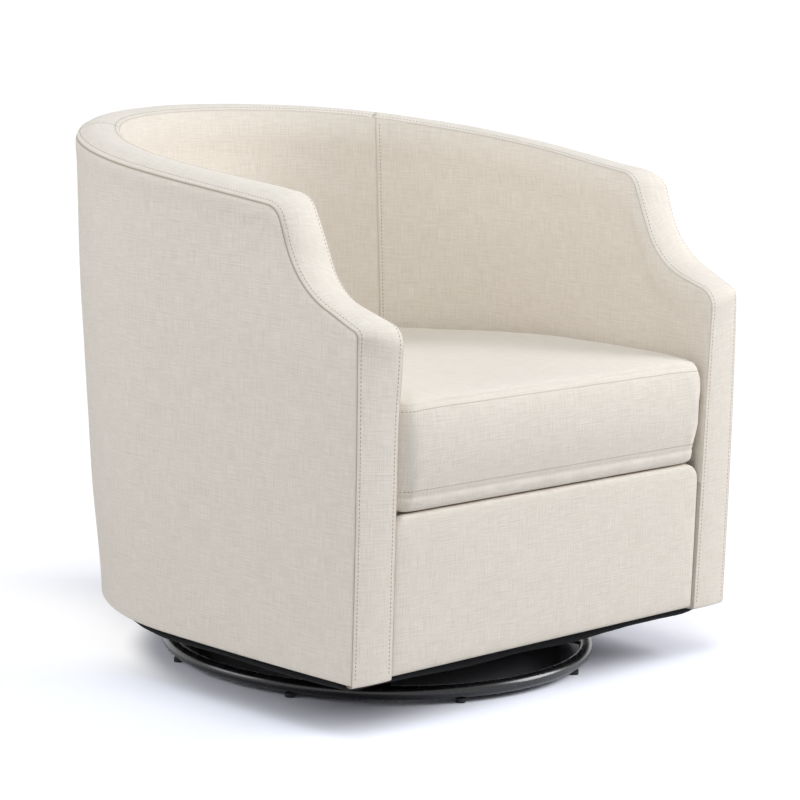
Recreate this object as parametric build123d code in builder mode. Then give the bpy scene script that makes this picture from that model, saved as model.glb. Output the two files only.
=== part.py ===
from build123d import *
import os
from math import cos, radians, sin, tan

# Swivel barrel chair. Millimetres; the origin is the middle of the footprint on the floor,
# +Z is up and the front of the chair faces -Y.
#
# The barrel is one tapering D shape, wider and further back at the rim than at the foot. Its
# wall is cut by one side profile: up the front of the arm, along the low arm, up the scoop to
# the shoulder and back along the sloping rim. Each cover is a layer of that wall.

# Barrel, outside
overall_depth = 773.0  # front of the arms to the back of the rim
skirt_height = 75.0  # floor to the lower edge of the covers
foot_half_width = 362.0  # at the front of the arm, lower edge
foot_back_radius = 372.0
foot_back_setback = 340.0  # front face to the centre of the back curve, lower edge
rim_half_width = 370.0  # at the front of the arm, at rim height
rim_back_radius = 387.0
rim_back_height = 724.0  # floor to the crest, above the backmost point
rim_tilt = 5.63  # degrees that the rim falls towards the front

# Side profile of the arm
arm_height = 516.0  # floor to the top of the arm's front corner
arm_corner_radius = 14.0
arm_slope = 15.0  # degrees that the low arm rises towards the back
scoop_setback = 101.0  # front face to the middle of the scoop
scoop_radius = 110.0
scoop_slope = 66.0  # degrees, steepest part of the scoop
shoulder_radius = 25.0

# Covers and pads
wall = 61.0  # seam to seam across the border
border_depth = 13.0
rim_crown = 9.0  # rise of the border from its outer edge to the crest
rim_roll = 22.0  # width of the part that rolls down to the outer edge
outside_pad = 12.0
inside_pad = 25.0
seam_gap = 0.3  # clearance between two covers
seam_angle = 47.0  # cross seams, degrees from straight back
outside_seam_angle = 36.0

# Timber frame
frame_gap = 1.0  # frame to the outside pad
frame_depth = 22.0  # boards, posts and top rail, across the wall
board_thickness = 20.0
side_board_length = 250.0
side_window_length = 90.0
side_window_height = 190.0
window_corner = 18.0
seat_rail_width = 44.0
seat_rail_top = 239.0
post_width = 32.0
post_angles = (-66.0, -40.0, -14.0, 14.0, 40.0, 66.0)  # degrees from straight back
centre_bar = 250.0  # width of the solid middle of the base board
board_rim = 62.0  # width of the base board along its edge
front_board_thickness = 12.0
front_rail_depth = 20.0
front_rail_height = 55.0

# Front panel and deck
panel_half_width = 292.0
panel_thickness = 16.0
panel_setback = 2.0  # arm fronts to the panel's face
panel_top = 279.0
panel_corner_radius = 20.0
panel_edge = 3.0
deck_top = 283.5
deck_thickness = 36.5
deck_gap = 1.0  # deck to the inside pads

# Springs
spring_count = 4
spring_pitch = 118.0  # from one spring to the next
spring_wire = 4.0
spring_turns = 8
spring_width = 52.0
spring_bend = 14.0
clip_width = 15.0
clip_wall = 1.5
clip_play = 0.2

# Seat cushion
cushion_gap = 1.6  # cushion to the inside pads, at its widest
cushion_rest = 0.3  # deck to the cushion's underside
cushion_height = 137.0  # underside to the crest
boxing_low = 26.0  # underside to the lower seam
boxing_high = 125.0  # underside to the upper seam
cushion_tuck = 5.0  # how far the seams draw the sides in
underside_inset = 16.0
crown_inset = 95.0  # flat middle of the crown, from the widest outline
crown_steps = 3
cushion_corner = 34.0
cover_thickness = 3.0
core_gap = 0.3
zip_width = 9.0
zip_depth = 1.0
zip_half_angle = 42.0

# Dust cover
cover_cloth = 1.5
cover_edge = outside_pad + 2  # clear of the outside covers
cover_front_edge = 22.0  # its front edge, behind the arm fronts
cover_sag = 18.0
cover_sag_inset = 95.0
cover_centre_radius = 156.0
cover_centre_half_width = 150.0

# Swivel base
swivel_setback = 322.0  # front face to the swivel's axis
ring_diameter = 600.0
ring_tube = 19.0
glide_count = 8
glide_height = 6.0  # floor to the ring
glide_diameter = 13.0
spoke_count = 4
spoke_width = 38.0
spoke_thickness = 5.0
spoke_start = 32.0
spoke_bend = 112.0  # axis to the bend
race_radius = 75.0
race_thickness = 9.5
upper_race_height = 8.0
slide_ring_thickness = 4.0
slide_ring_width = 22.0
running_clearance = 0.06  # in the swivel, along the axis and round the pin
plate_side = 200.0
plate_thickness = 3.0
plate_corner = 14.0
bolt_spacing = 160.0
bolt_diameter = 8.0
bolt_head = 13.0
bolt_head_height = 5.3
bolt_clearance = 0.4
tee_nut_side = 20.0
tee_nut_wall = 1.5
tee_nut_depth = 11.0
pin_diameter = 16.0
pin_head = 28.0
pin_head_height = 3.0
washer_diameter = 36.0
washer_thickness = 2.5
rivet_diameter = 26.0
rivet_height = 5.0

front_y = -overall_depth / 2
back_y = overall_depth / 2
foot_centre_y = front_y + foot_back_setback
rim_centre_y = back_y - rim_back_radius * cos(radians(rim_tilt))
swivel_y = front_y + swivel_setback
reach = overall_depth  # half the size of a cutting tool, past every edge

frame_outer = outside_pad + frame_gap
frame_inner = frame_outer + frame_depth
board_bottom = skirt_height + cover_cloth
board_top = board_bottom + board_thickness
plate_top = skirt_height
plate_bottom = plate_top - plate_thickness
upper_race_bottom = plate_bottom - upper_race_height
lower_race_top = upper_race_bottom - running_clearance - slide_ring_thickness
lower_race_bottom = lower_race_top - race_thickness
ring_z = glide_height + ring_tube / 2
ring_radius = (ring_diameter - ring_tube) / 2
clip_outer = spring_wire / 2 + clip_wall
spring_z = seat_rail_top + clip_outer
swivel_plane = Plane((0, swivel_y, 0))


def crest_z(y):
    """Height of the rim's crest above the point y of the plan."""
    return rim_back_height - tan(radians(rim_tilt)) * (back_y - y)


def rim_plane(drop):
    """The sloping plane of the rim's crest, lowered by drop."""
    lean = radians(rim_tilt)
    return Plane(origin=(0, 0, crest_z(0) - drop), x_dir=(1, 0, 0), z_dir=(0, -sin(lean), cos(lean)))


def d_outline(plane, half_width, radius, centre_y, front, corner=0.0):
    """A plan outline: straight front, slightly bowed sides and a round back."""
    with BuildSketch(plane) as outline:
        with BuildLine():
            CenterArc((0, centre_y), radius, 0, 90)
            CenterArc((0, centre_y), radius, 90, 90)
            TangentArc((-radius, centre_y), (-half_width, front), tangent=(0, -1))
            Line((-half_width, front), (half_width, front))
            TangentArc((radius, centre_y), (half_width, front), tangent=(0, -1))
        make_face()
        if corner > 0:
            fillet(outline.vertices().group_by(Axis.Y)[0], corner)
    return outline.sketch.faces()[0]


def foot_outline(z, inset, front):
    """The barrel's outline at its lower edge, drawn in by inset."""
    return d_outline(
        Plane.XY.offset(z), foot_half_width - inset, foot_back_radius - inset, foot_centre_y, front
    )


def rim_outline(drop, inset, front):
    """The barrel's outline on the sloping rim, drawn in by inset."""
    stretch = 1 / cos(radians(rim_tilt))
    return d_outline(
        rim_plane(drop),
        rim_half_width - inset,
        rim_back_radius - inset,
        rim_centre_y * stretch,
        front * stretch,
    )


def back_curve(z):
    """Centre and radius of the barrel's back curve at a height between its foot and its rim."""
    share = (z - skirt_height) / (rim_back_height - rim_crown - skirt_height)
    centre_y = foot_centre_y + (rim_centre_y - foot_centre_y) * share
    return centre_y, foot_back_radius + (rim_back_radius - foot_back_radius) * share


def barrel(inset):
    """The tapering barrel, drawn in by inset, closed at the front and crowned at the rim."""
    with BuildPart() as body:
        loft(
            sections=[
                foot_outline(skirt_height, inset, front_y),
                rim_outline(rim_crown, inset, front_y),
                rim_outline(0, inset + rim_roll, front_y),
            ],
            ruled=True,
        )
    return body.part


def hollow(inset):
    """The same taper as a cutting tool, running out below, above and through the front."""
    past = border_depth * 4
    with BuildPart() as body:
        loft(
            sections=[
                foot_outline(skirt_height - past, inset, front_y - past),
                foot_outline(skirt_height, inset, front_y - past),
                rim_outline(rim_crown, inset, front_y - past),
                rim_outline(-past, inset, front_y - past),
            ],
            ruled=True,
        )
    return body.part


def outside_profile(depth):
    """All that lies in front of or above the arm's side profile, sunk in by depth."""
    low_y = front_y + scoop_setback
    low_z = arm_height + scoop_setback * tan(radians(arm_slope))
    rise = tan(radians(scoop_slope)) - tan(radians(rim_tilt))
    shoulder_y = low_y + (crest_z(low_y) - low_z) / rise
    far = back_y + reach
    with BuildPart() as tool:
        with BuildSketch(Plane.YZ):
            with BuildLine():
                edge = FilletPolyline(
                    (front_y, -reach),
                    (front_y, arm_height),
                    (low_y, low_z),
                    (shoulder_y, crest_z(shoulder_y)),
                    (far, crest_z(far)),
                    radius=(arm_corner_radius, scoop_radius, shoulder_radius),
                )
                Polyline(edge @ 1, (far, far), (-far, far), (-far, -reach), edge @ 0)
            make_face()
            if depth > 0:
                offset(amount=depth)
        extrude(amount=reach, both=True)
    return tool.part


def back_sector(half_angle, gap):
    """A wedge that opens to the back from the middle of the rim, wider by gap on each side."""
    turn = radians(half_angle)
    tip_y = rim_centre_y - gap / sin(turn)
    side = reach * 2
    with BuildPart() as tool:
        with BuildSketch():
            with BuildLine():
                Polyline(
                    (0, tip_y),
                    (side * sin(turn), tip_y + side * cos(turn)),
                    (-side * sin(turn), tip_y + side * cos(turn)),
                    close=True,
                )
            make_face()
        extrude(amount=reach * 2)
    return tool.part


def half_space(side):
    """Everything on one side of the centre line: side is -1 for the left and 1 for the right."""
    with BuildPart() as tool:
        with Locations((side * reach, 0, 0)):
            Box(reach * 2, reach * 4, reach * 4)
    return tool.part


def slab(low, high):
    """Everything between two heights."""
    with BuildPart() as tool:
        with Locations((0, 0, (low + high) / 2)):
            Box(reach * 3, reach * 3, high - low)
    return tool.part


def in_front_of(y):
    """Everything in front of a point of the plan."""
    with BuildPart() as tool:
        with Locations((0, y - reach * 2, 0)):
            Box(reach * 3, reach * 4, reach * 4)
    return tool.part


def finish(part, label):
    """Names a finished piece and writes it."""
    part.label = label
    export_step(part, f"parts/{label}.step")


os.makedirs("parts", exist_ok=True)

# Covers ------------------------------------------------------------------------------------
# Whole layers first; each is then cut at its seams into the panels that are sewn together.

with BuildPart() as border_layer:
    add(barrel(0))
    add(hollow(wall), mode=Mode.SUBTRACT)
    add(outside_profile(0), mode=Mode.SUBTRACT)
    add(outside_profile(border_depth), mode=Mode.INTERSECT)

with BuildPart() as outside_layer:
    add(barrel(0))
    add(hollow(outside_pad), mode=Mode.SUBTRACT)
    add(outside_profile(border_depth + seam_gap), mode=Mode.SUBTRACT)

with BuildPart() as inside_layer:
    add(hollow(wall - inside_pad))
    add(hollow(wall), mode=Mode.SUBTRACT)
    add(outside_profile(border_depth + seam_gap), mode=Mode.SUBTRACT)
    add(slab(spring_z + clip_outer + seam_gap, reach), mode=Mode.INTERSECT)

for layer, name, angle in (
    (border_layer, "border", seam_angle),
    (outside_layer, "outside", outside_seam_angle),
    (inside_layer, "inside", seam_angle),
):
    with BuildPart() as back_panel:
        add(layer.part)
        add(back_sector(angle, 0), mode=Mode.INTERSECT)
    finish(back_panel.part, f"{name}_back")
    for side, hand in ((-1, "left"), (1, "right")):
        with BuildPart() as side_panel:
            add(layer.part)
            add(back_sector(angle, seam_gap), mode=Mode.SUBTRACT)
            add(half_space(side), mode=Mode.INTERSECT)
        finish(side_panel.part, f"{name}_{hand}")

# The front panel is a padded cover with rounded upper corners, between the arms.
with BuildPart() as front_panel:
    panel_face = Plane((0, front_y + panel_setback, 0), x_dir=(1, 0, 0), z_dir=(0, -1, 0))
    with BuildSketch(panel_face.offset(-panel_thickness)) as panel_shape:
        with Locations((0, (panel_top + skirt_height) / 2)):
            Rectangle(panel_half_width * 2, panel_top - skirt_height)
        fillet(panel_shape.vertices().group_by(Axis.Z)[-1], panel_corner_radius)
    extrude(amount=panel_thickness)
    chamfer(front_panel.faces().sort_by(Axis.Y)[0].edges(), panel_edge)
finish(front_panel.part, "front_panel")

# The deck is a firm pad on the springs, inside the inside pads.
panel_back_y = front_y + panel_setback + panel_thickness
with BuildPart() as deck_pad:
    add(hollow(wall + deck_gap))
    add(slab(deck_top - deck_thickness, deck_top), mode=Mode.INTERSECT)
    add(in_front_of(panel_back_y + seam_gap), mode=Mode.SUBTRACT)
finish(deck_pad.part, "deck_pad")

# Timber frame ------------------------------------------------------------------------------

frame_front_y = panel_back_y
front_rail_y = frame_front_y + front_board_thickness
seat_rail_y = front_rail_y + front_rail_depth


def frame_layer(outer, inner, depth):
    """The part of the wall between two depths, under the border, that timber is cut from."""
    with BuildPart() as layer:
        add(hollow(outer))
        add(hollow(inner), mode=Mode.SUBTRACT)
        add(outside_profile(depth), mode=Mode.SUBTRACT)
    return layer.part


# One plywood board makes the bottom of the chair, with four windows beside a solid middle.
with BuildPart() as base_board:
    add(hollow(frame_outer))
    add(outside_profile(border_depth + seam_gap), mode=Mode.SUBTRACT)
    add(slab(board_bottom, board_top), mode=Mode.INTERSECT)
    add(in_front_of(frame_front_y), mode=Mode.SUBTRACT)
    with BuildSketch():
        add(foot_outline(0, frame_outer + board_rim, frame_front_y + board_rim))
        with Locations((0, swivel_y)):
            Rectangle(centre_bar, reach * 4, mode=Mode.SUBTRACT)
            Rectangle(reach * 4, board_rim, mode=Mode.SUBTRACT)
        offset(amount=-window_corner, kind=Kind.INTERSECTION)
        offset(amount=window_corner)
    extrude(amount=reach, mode=Mode.SUBTRACT)
    with Locations(swivel_plane):
        with GridLocations(bolt_spacing, bolt_spacing, 2, 2):
            Cylinder(bolt_diameter / 2 + tee_nut_wall, reach, mode=Mode.SUBTRACT)
finish(base_board.part, "base_board")

# The arm boards follow the scoop and are lightened by a rounded window.
side_board_back_y = frame_front_y + side_board_length
for side, hand in ((-1, "left"), (1, "right")):
    with BuildPart() as side_board:
        add(frame_layer(frame_outer, frame_inner, border_depth + seam_gap))
        add(slab(board_top, reach), mode=Mode.INTERSECT)
        add(half_space(side), mode=Mode.INTERSECT)
        add(in_front_of(frame_front_y), mode=Mode.SUBTRACT)
        add(in_front_of(side_board_back_y), mode=Mode.INTERSECT)
        with BuildSketch(Plane.YZ):
            with Locations(((frame_front_y + side_board_back_y) / 2, (board_top + seat_rail_top) / 2)):
                RectangleRounded(side_window_height, side_window_length, window_corner)
        extrude(amount=reach, both=True, mode=Mode.SUBTRACT)
    finish(side_board.part, f"side_board_{hand}")

# The top rail is bent along the rim behind the arm boards and stands on the back posts.
with BuildPart() as top_rail:
    add(frame_layer(frame_outer, frame_inner, border_depth + seam_gap))
    add(outside_profile(border_depth + seam_gap + board_thickness), mode=Mode.INTERSECT)
    add(in_front_of(side_board_back_y), mode=Mode.SUBTRACT)
finish(top_rail.part, "top_rail")

with BuildPart() as back_posts:
    add(frame_layer(frame_outer, frame_inner, border_depth + seam_gap + board_thickness))
    add(slab(board_top, reach), mode=Mode.INTERSECT)
    with BuildPart(mode=Mode.PRIVATE) as post_lines:
        for angle in post_angles:
            with BuildSketch():
                with Locations(Location((0, rim_centre_y, 0), (0, 0, -angle))):
                    with Locations((0, rim_back_radius)):
                        Rectangle(post_width, rim_back_radius)
            extrude(amount=reach * 2)
    add(post_lines.part, mode=Mode.INTERSECT)
finish(back_posts.part, "back_posts")

# The seat rail runs round inside the boards and posts, under the inside pads.
with BuildPart() as seat_rail:
    add(frame_layer(frame_inner, frame_inner + seat_rail_width, border_depth + seam_gap))
    add(slab(seat_rail_top - board_thickness, seat_rail_top), mode=Mode.INTERSECT)
    add(in_front_of(seat_rail_y), mode=Mode.SUBTRACT)
finish(seat_rail.part, "seat_rail")

# The front board closes the box under the seat, and the front rail stiffens its upper edge.
for low_z, front, back, name in (
    (board_top, frame_front_y, front_rail_y, "front_board"),
    (seat_rail_top - front_rail_height, front_rail_y, seat_rail_y, "front_rail"),
):
    with BuildPart() as cross_piece:
        add(hollow(frame_inner))
        add(slab(low_z, seat_rail_top), mode=Mode.INTERSECT)
        add(in_front_of(front), mode=Mode.SUBTRACT)
        add(in_front_of(back), mode=Mode.INTERSECT)
    finish(cross_piece.part, name)

# Springs -----------------------------------------------------------------------------------
# Each zigzag spring runs from the front rail to the round back of the seat rail, and its end
# runs lie in clips on both rails.

spring_front_y = (front_rail_y + seat_rail_y) / 2
rail_centre_y, rail_level_radius = back_curve(seat_rail_top)
rail_radius = rail_level_radius - frame_inner - seat_rail_width / 2
spring_lines = [spring_pitch * (i - (spring_count - 1) / 2) for i in range(spring_count)]


def spring_back_y(x):
    """Where the spring beside the centre line by x ends on the seat rail's round back."""
    return rail_centre_y + (rail_radius**2 - (abs(x) + spring_width / 2) ** 2) ** 0.5


def spring_path(x):
    """The zigzag of one spring: straight runs across, joined by bent ends."""
    step = (spring_back_y(x) - spring_front_y) / spring_turns
    half = spring_width / 2
    points = [(x - half, spring_front_y)]
    for turn in range(spring_turns):
        side = 1 if turn % 2 == 0 else -1
        y = spring_front_y + step * turn
        points.append((x + side * (half - spring_bend), y))
        points.append((x + side * half, y + spring_bend))
        points.append((x + side * half, y + step - spring_bend))
        points.append((x + side * (half - spring_bend), y + step))
    last = 1 if spring_turns % 2 == 0 else -1
    points.append((x + last * half, spring_front_y + step * spring_turns))
    with BuildLine(Plane.XY.offset(spring_z)) as path:
        Polyline(*points)
    return path.line


with BuildPart() as springs:
    for x in spring_lines:
        with BuildSketch(Plane((x - spring_width / 2, spring_front_y, spring_z), z_dir=(1, 0, 0))):
            Rectangle(spring_wire, spring_wire)
        sweep(path=spring_path(x), transition=Transition.RIGHT)
finish(springs.part, "springs")

with BuildPart() as spring_clips:
    for x in spring_lines:
        for y in (spring_front_y, spring_back_y(x)):
            with BuildSketch(Plane((x - clip_width / 2, y, spring_z), x_dir=(0, 1, 0), z_dir=(1, 0, 0))):
                Rectangle(clip_outer * 2, clip_outer * 2)
                Rectangle(spring_wire + clip_play, spring_wire + clip_play, mode=Mode.SUBTRACT)
            extrude(amount=clip_width)
finish(spring_clips.part, "spring_clips")

# Seat cushion ------------------------------------------------------------------------------
# A boxed cushion: the two seams are drawn in, the boxing swells between them and the top is
# crowned. At each height its outline follows the hollow of the barrel.

cushion_low = deck_top + cushion_rest


def cushion_outline(rise, inset):
    """The cushion's outline above its underside by rise, drawn in by inset."""
    z = cushion_low + rise
    centre_y, radius = back_curve(z)
    return d_outline(
        Plane.XY.offset(z),
        foot_half_width - wall - cushion_gap - inset,
        radius - wall - cushion_gap - inset,
        centre_y,
        front_y + inset,
        cushion_corner,
    )


def cushion_form(inset):
    """The filled cushion, drawn in all round by inset."""
    swell = (boxing_high - boxing_low) / 4
    crown_rise = cushion_height - boxing_high
    levels = [
        (0, underside_inset),
        (boxing_low, cushion_tuck),
        (boxing_low + swell, 0),
        (boxing_high - swell, 0),
        (boxing_high, cushion_tuck),
    ]
    for step in range(1, crown_steps + 1):
        lift = sin(radians(90 * step / crown_steps))
        spread = 1 - cos(radians(90 * step / crown_steps))
        levels.append((boxing_high + crown_rise * lift, cushion_tuck + crown_inset * spread))
    squeeze = 1 - 2 * inset / cushion_height
    with BuildPart() as form:
        loft(
            sections=[cushion_outline(inset + rise * squeeze, draw + inset) for rise, draw in levels],
            ruled=True,
        )
    return form.part


with BuildPart() as cushion_zip:
    add(cushion_form(0))
    add(cushion_form(zip_depth), mode=Mode.SUBTRACT)
    zip_z = cushion_low + (boxing_low + boxing_high) / 2
    add(slab(zip_z - zip_width / 2, zip_z + zip_width / 2), mode=Mode.INTERSECT)
    add(back_sector(zip_half_angle, 0), mode=Mode.INTERSECT)
finish(cushion_zip.part, "cushion_zip")

with BuildPart() as cushion_cover:
    add(cushion_form(0))
    add(cushion_form(cover_thickness), mode=Mode.SUBTRACT)
    add(cushion_zip.part, mode=Mode.SUBTRACT)
finish(cushion_cover.part, "cushion_cover")

finish(cushion_form(cover_thickness + core_gap), "cushion_core")

# Dust cover --------------------------------------------------------------------------------
# Thin cloth under the base board: fixed round the edge and under the swivel plate, sagging
# between the two.


def sag_filling(drop):
    """What lies between the sagging cloth and the base board, with the cloth lowered by drop."""
    edge = foot_outline(board_bottom - drop, cover_edge, front_y + cover_front_edge)
    low = foot_outline(board_bottom - drop - cover_sag, cover_sag_inset, front_y + cover_sag_inset)
    middle = d_outline(
        Plane.XY.offset(board_bottom - drop),
        cover_centre_half_width,
        cover_centre_radius,
        swivel_y,
        swivel_y - cover_centre_radius,
    )
    with BuildPart() as filling:
        loft(sections=[edge, low], ruled=True)
        with BuildPart(mode=Mode.PRIVATE) as mound:
            loft(sections=[low, middle], ruled=True)
        add(mound.part, mode=Mode.SUBTRACT)
    return filling.part


with BuildPart() as dust_cover:
    add(sag_filling(cover_cloth))
    with BuildSketch(Plane.XY.offset(skirt_height)):
        add(foot_outline(0, cover_edge, front_y + cover_front_edge))
    extrude(amount=cover_cloth)
    add(sag_filling(0), mode=Mode.SUBTRACT)
    with Locations(swivel_plane):
        with GridLocations(bolt_spacing, bolt_spacing, 2, 2):
            Cylinder((bolt_diameter + bolt_clearance) / 2, reach, mode=Mode.SUBTRACT)
finish(dust_cover.part, "dust_cover")

# Swivel ------------------------------------------------------------------------------------
# The upper race is part of the plate that is bolted to the base board. It turns on a slide
# ring that lies on the lower race, and the king pin holds the two races together.

with BuildPart() as swivel_plate:
    with BuildSketch(swivel_plane.offset(plate_bottom)):
        RectangleRounded(plate_side, plate_side, plate_corner)
        with GridLocations(bolt_spacing, bolt_spacing, 2, 2):
            Circle((bolt_diameter + bolt_clearance) / 2, mode=Mode.SUBTRACT)
    extrude(amount=plate_thickness)
    with BuildSketch(swivel_plane.offset(upper_race_bottom)):
        Circle(race_radius)
    extrude(amount=upper_race_height)
    with Locations(swivel_plane.offset(plate_top)):
        CounterBoreHole(pin_diameter / 2, pin_head / 2, pin_head_height)
finish(swivel_plate.part, "swivel_plate")

with BuildPart() as slide_ring:
    with BuildSketch(swivel_plane.offset(lower_race_top)):
        Circle(race_radius)
        Circle(race_radius - slide_ring_width, mode=Mode.SUBTRACT)
    extrude(amount=slide_ring_thickness)
finish(slide_ring.part, "slide_ring")

with BuildPart() as lower_race:
    with BuildSketch(swivel_plane.offset(lower_race_bottom)):
        Circle(race_radius)
        Circle(pin_diameter / 2 + running_clearance, mode=Mode.SUBTRACT)
    extrude(amount=race_thickness)
finish(lower_race.part, "lower_race")

washer_top = lower_race_bottom - running_clearance
with BuildPart() as king_pin:
    with BuildSketch(swivel_plane.offset(washer_top - washer_thickness - rivet_height)):
        Circle(pin_diameter / 2)
    extrude(amount=plate_top - washer_top + washer_thickness + rivet_height)
    with BuildSketch(swivel_plane.offset(plate_top - pin_head_height)):
        Circle(pin_head / 2)
    extrude(amount=pin_head_height)
    with BuildSketch(swivel_plane.offset(washer_top - washer_thickness)):
        Circle(rivet_diameter / 2)
    extrude(amount=-rivet_height)
    chamfer(king_pin.edges().group_by(Axis.Z)[0], rivet_height / 2)
finish(king_pin.part, "king_pin")

with BuildPart() as pin_washer:
    with BuildSketch(swivel_plane.offset(washer_top - washer_thickness)):
        Circle(washer_diameter / 2)
        Circle(pin_diameter / 2, mode=Mode.SUBTRACT)
    extrude(amount=washer_thickness)
finish(pin_washer.part, "pin_washer")

with BuildPart() as plate_bolts:
    with BuildSketch(swivel_plane.offset(plate_bottom)):
        with GridLocations(bolt_spacing, bolt_spacing, 2, 2):
            RegularPolygon(bolt_head / 2, 6, major_radius=False)
    extrude(amount=-bolt_head_height)
    with BuildSketch(swivel_plane.offset(plate_bottom)):
        with GridLocations(bolt_spacing, bolt_spacing, 2, 2):
            Circle(bolt_diameter / 2)
    extrude(amount=board_top - plate_bottom)
finish(plate_bolts.part, "plate_bolts")

with BuildPart() as tee_nuts:
    with BuildSketch(swivel_plane.offset(board_top - tee_nut_depth)):
        with GridLocations(bolt_spacing, bolt_spacing, 2, 2):
            Circle(bolt_diameter / 2 + tee_nut_wall)
            Circle(bolt_diameter / 2, mode=Mode.SUBTRACT)
    extrude(amount=tee_nut_depth)
    with BuildSketch(swivel_plane.offset(board_top)):
        with GridLocations(bolt_spacing, bolt_spacing, 2, 2):
            Rectangle(tee_nut_side, tee_nut_side)
            Circle(bolt_diameter / 2, mode=Mode.SUBTRACT)
    extrude(amount=tee_nut_wall)
finish(tee_nuts.part, "tee_nuts")

# Swivel base -------------------------------------------------------------------------------
# A round tube ring stands on small glides; bent flat bars carry the lower race above it.

ring_plane = swivel_plane.offset(ring_z)
with BuildPart() as base_ring:
    with Locations(ring_plane):
        Torus(ring_radius, ring_tube / 2)
finish(base_ring.part, "base_ring")

with BuildPart() as floor_glides:
    with BuildSketch(swivel_plane):
        with PolarLocations(ring_radius, glide_count, start_angle=180 / glide_count):
            Circle(glide_diameter / 2)
    extrude(amount=glide_height)
finish(floor_glides.part, "floor_glides")

with BuildPart() as spokes:
    for i in range(spoke_count):
        turn = Location((0, swivel_y, 0), (0, 0, 360 / spoke_count * (i + 0.5)))
        side = Plane(turn * Location((0, -spoke_width / 2, 0), (90, 0, 0)))
        with BuildSketch(side):
            with BuildLine():
                Polyline(
                    (spoke_start, lower_race_bottom),
                    (spoke_bend, lower_race_bottom),
                    (ring_radius, ring_z + spoke_thickness),
                    (ring_radius, ring_z),
                    (spoke_bend, lower_race_bottom - spoke_thickness),
                    (spoke_start, lower_race_bottom - spoke_thickness),
                    close=True,
                )
            make_face()
        extrude(amount=-spoke_width)
    add(base_ring.part, mode=Mode.SUBTRACT)
finish(spokes.part, "spokes")
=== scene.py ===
"""Looks of a swivel barrel chair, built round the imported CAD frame.

Sizes in the classes are millimetres, as in the CAD; meshes are made in metres. The origin is the
middle of the footprint on the floor, +Z is up and the front of the chair faces -Y.
"""

import logging
import math
from dataclasses import dataclass
from enum import Enum

import bpy
import numpy as np
from mathutils import Matrix, Vector, noise


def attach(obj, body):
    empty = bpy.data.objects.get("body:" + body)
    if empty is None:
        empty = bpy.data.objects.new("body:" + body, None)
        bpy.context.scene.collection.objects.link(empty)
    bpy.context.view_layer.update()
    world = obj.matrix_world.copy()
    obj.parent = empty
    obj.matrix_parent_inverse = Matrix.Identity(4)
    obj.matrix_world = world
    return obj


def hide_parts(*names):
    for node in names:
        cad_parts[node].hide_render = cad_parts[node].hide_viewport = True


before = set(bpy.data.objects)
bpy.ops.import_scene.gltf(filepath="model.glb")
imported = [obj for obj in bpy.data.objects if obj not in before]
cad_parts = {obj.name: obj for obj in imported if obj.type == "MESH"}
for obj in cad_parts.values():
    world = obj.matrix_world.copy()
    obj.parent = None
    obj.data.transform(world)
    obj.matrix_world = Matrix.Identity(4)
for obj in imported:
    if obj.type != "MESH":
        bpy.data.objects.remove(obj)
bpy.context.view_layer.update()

log = logging.getLogger("barrel_chair")
MM = 0.001
Array = np.ndarray


class Side(Enum):
    """Which part of the barrel a panel covers."""

    LEFT = "left"
    BACK = "back"
    RIGHT = "right"


# Barrel geometry --------------------------------------------------------------------------


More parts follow.
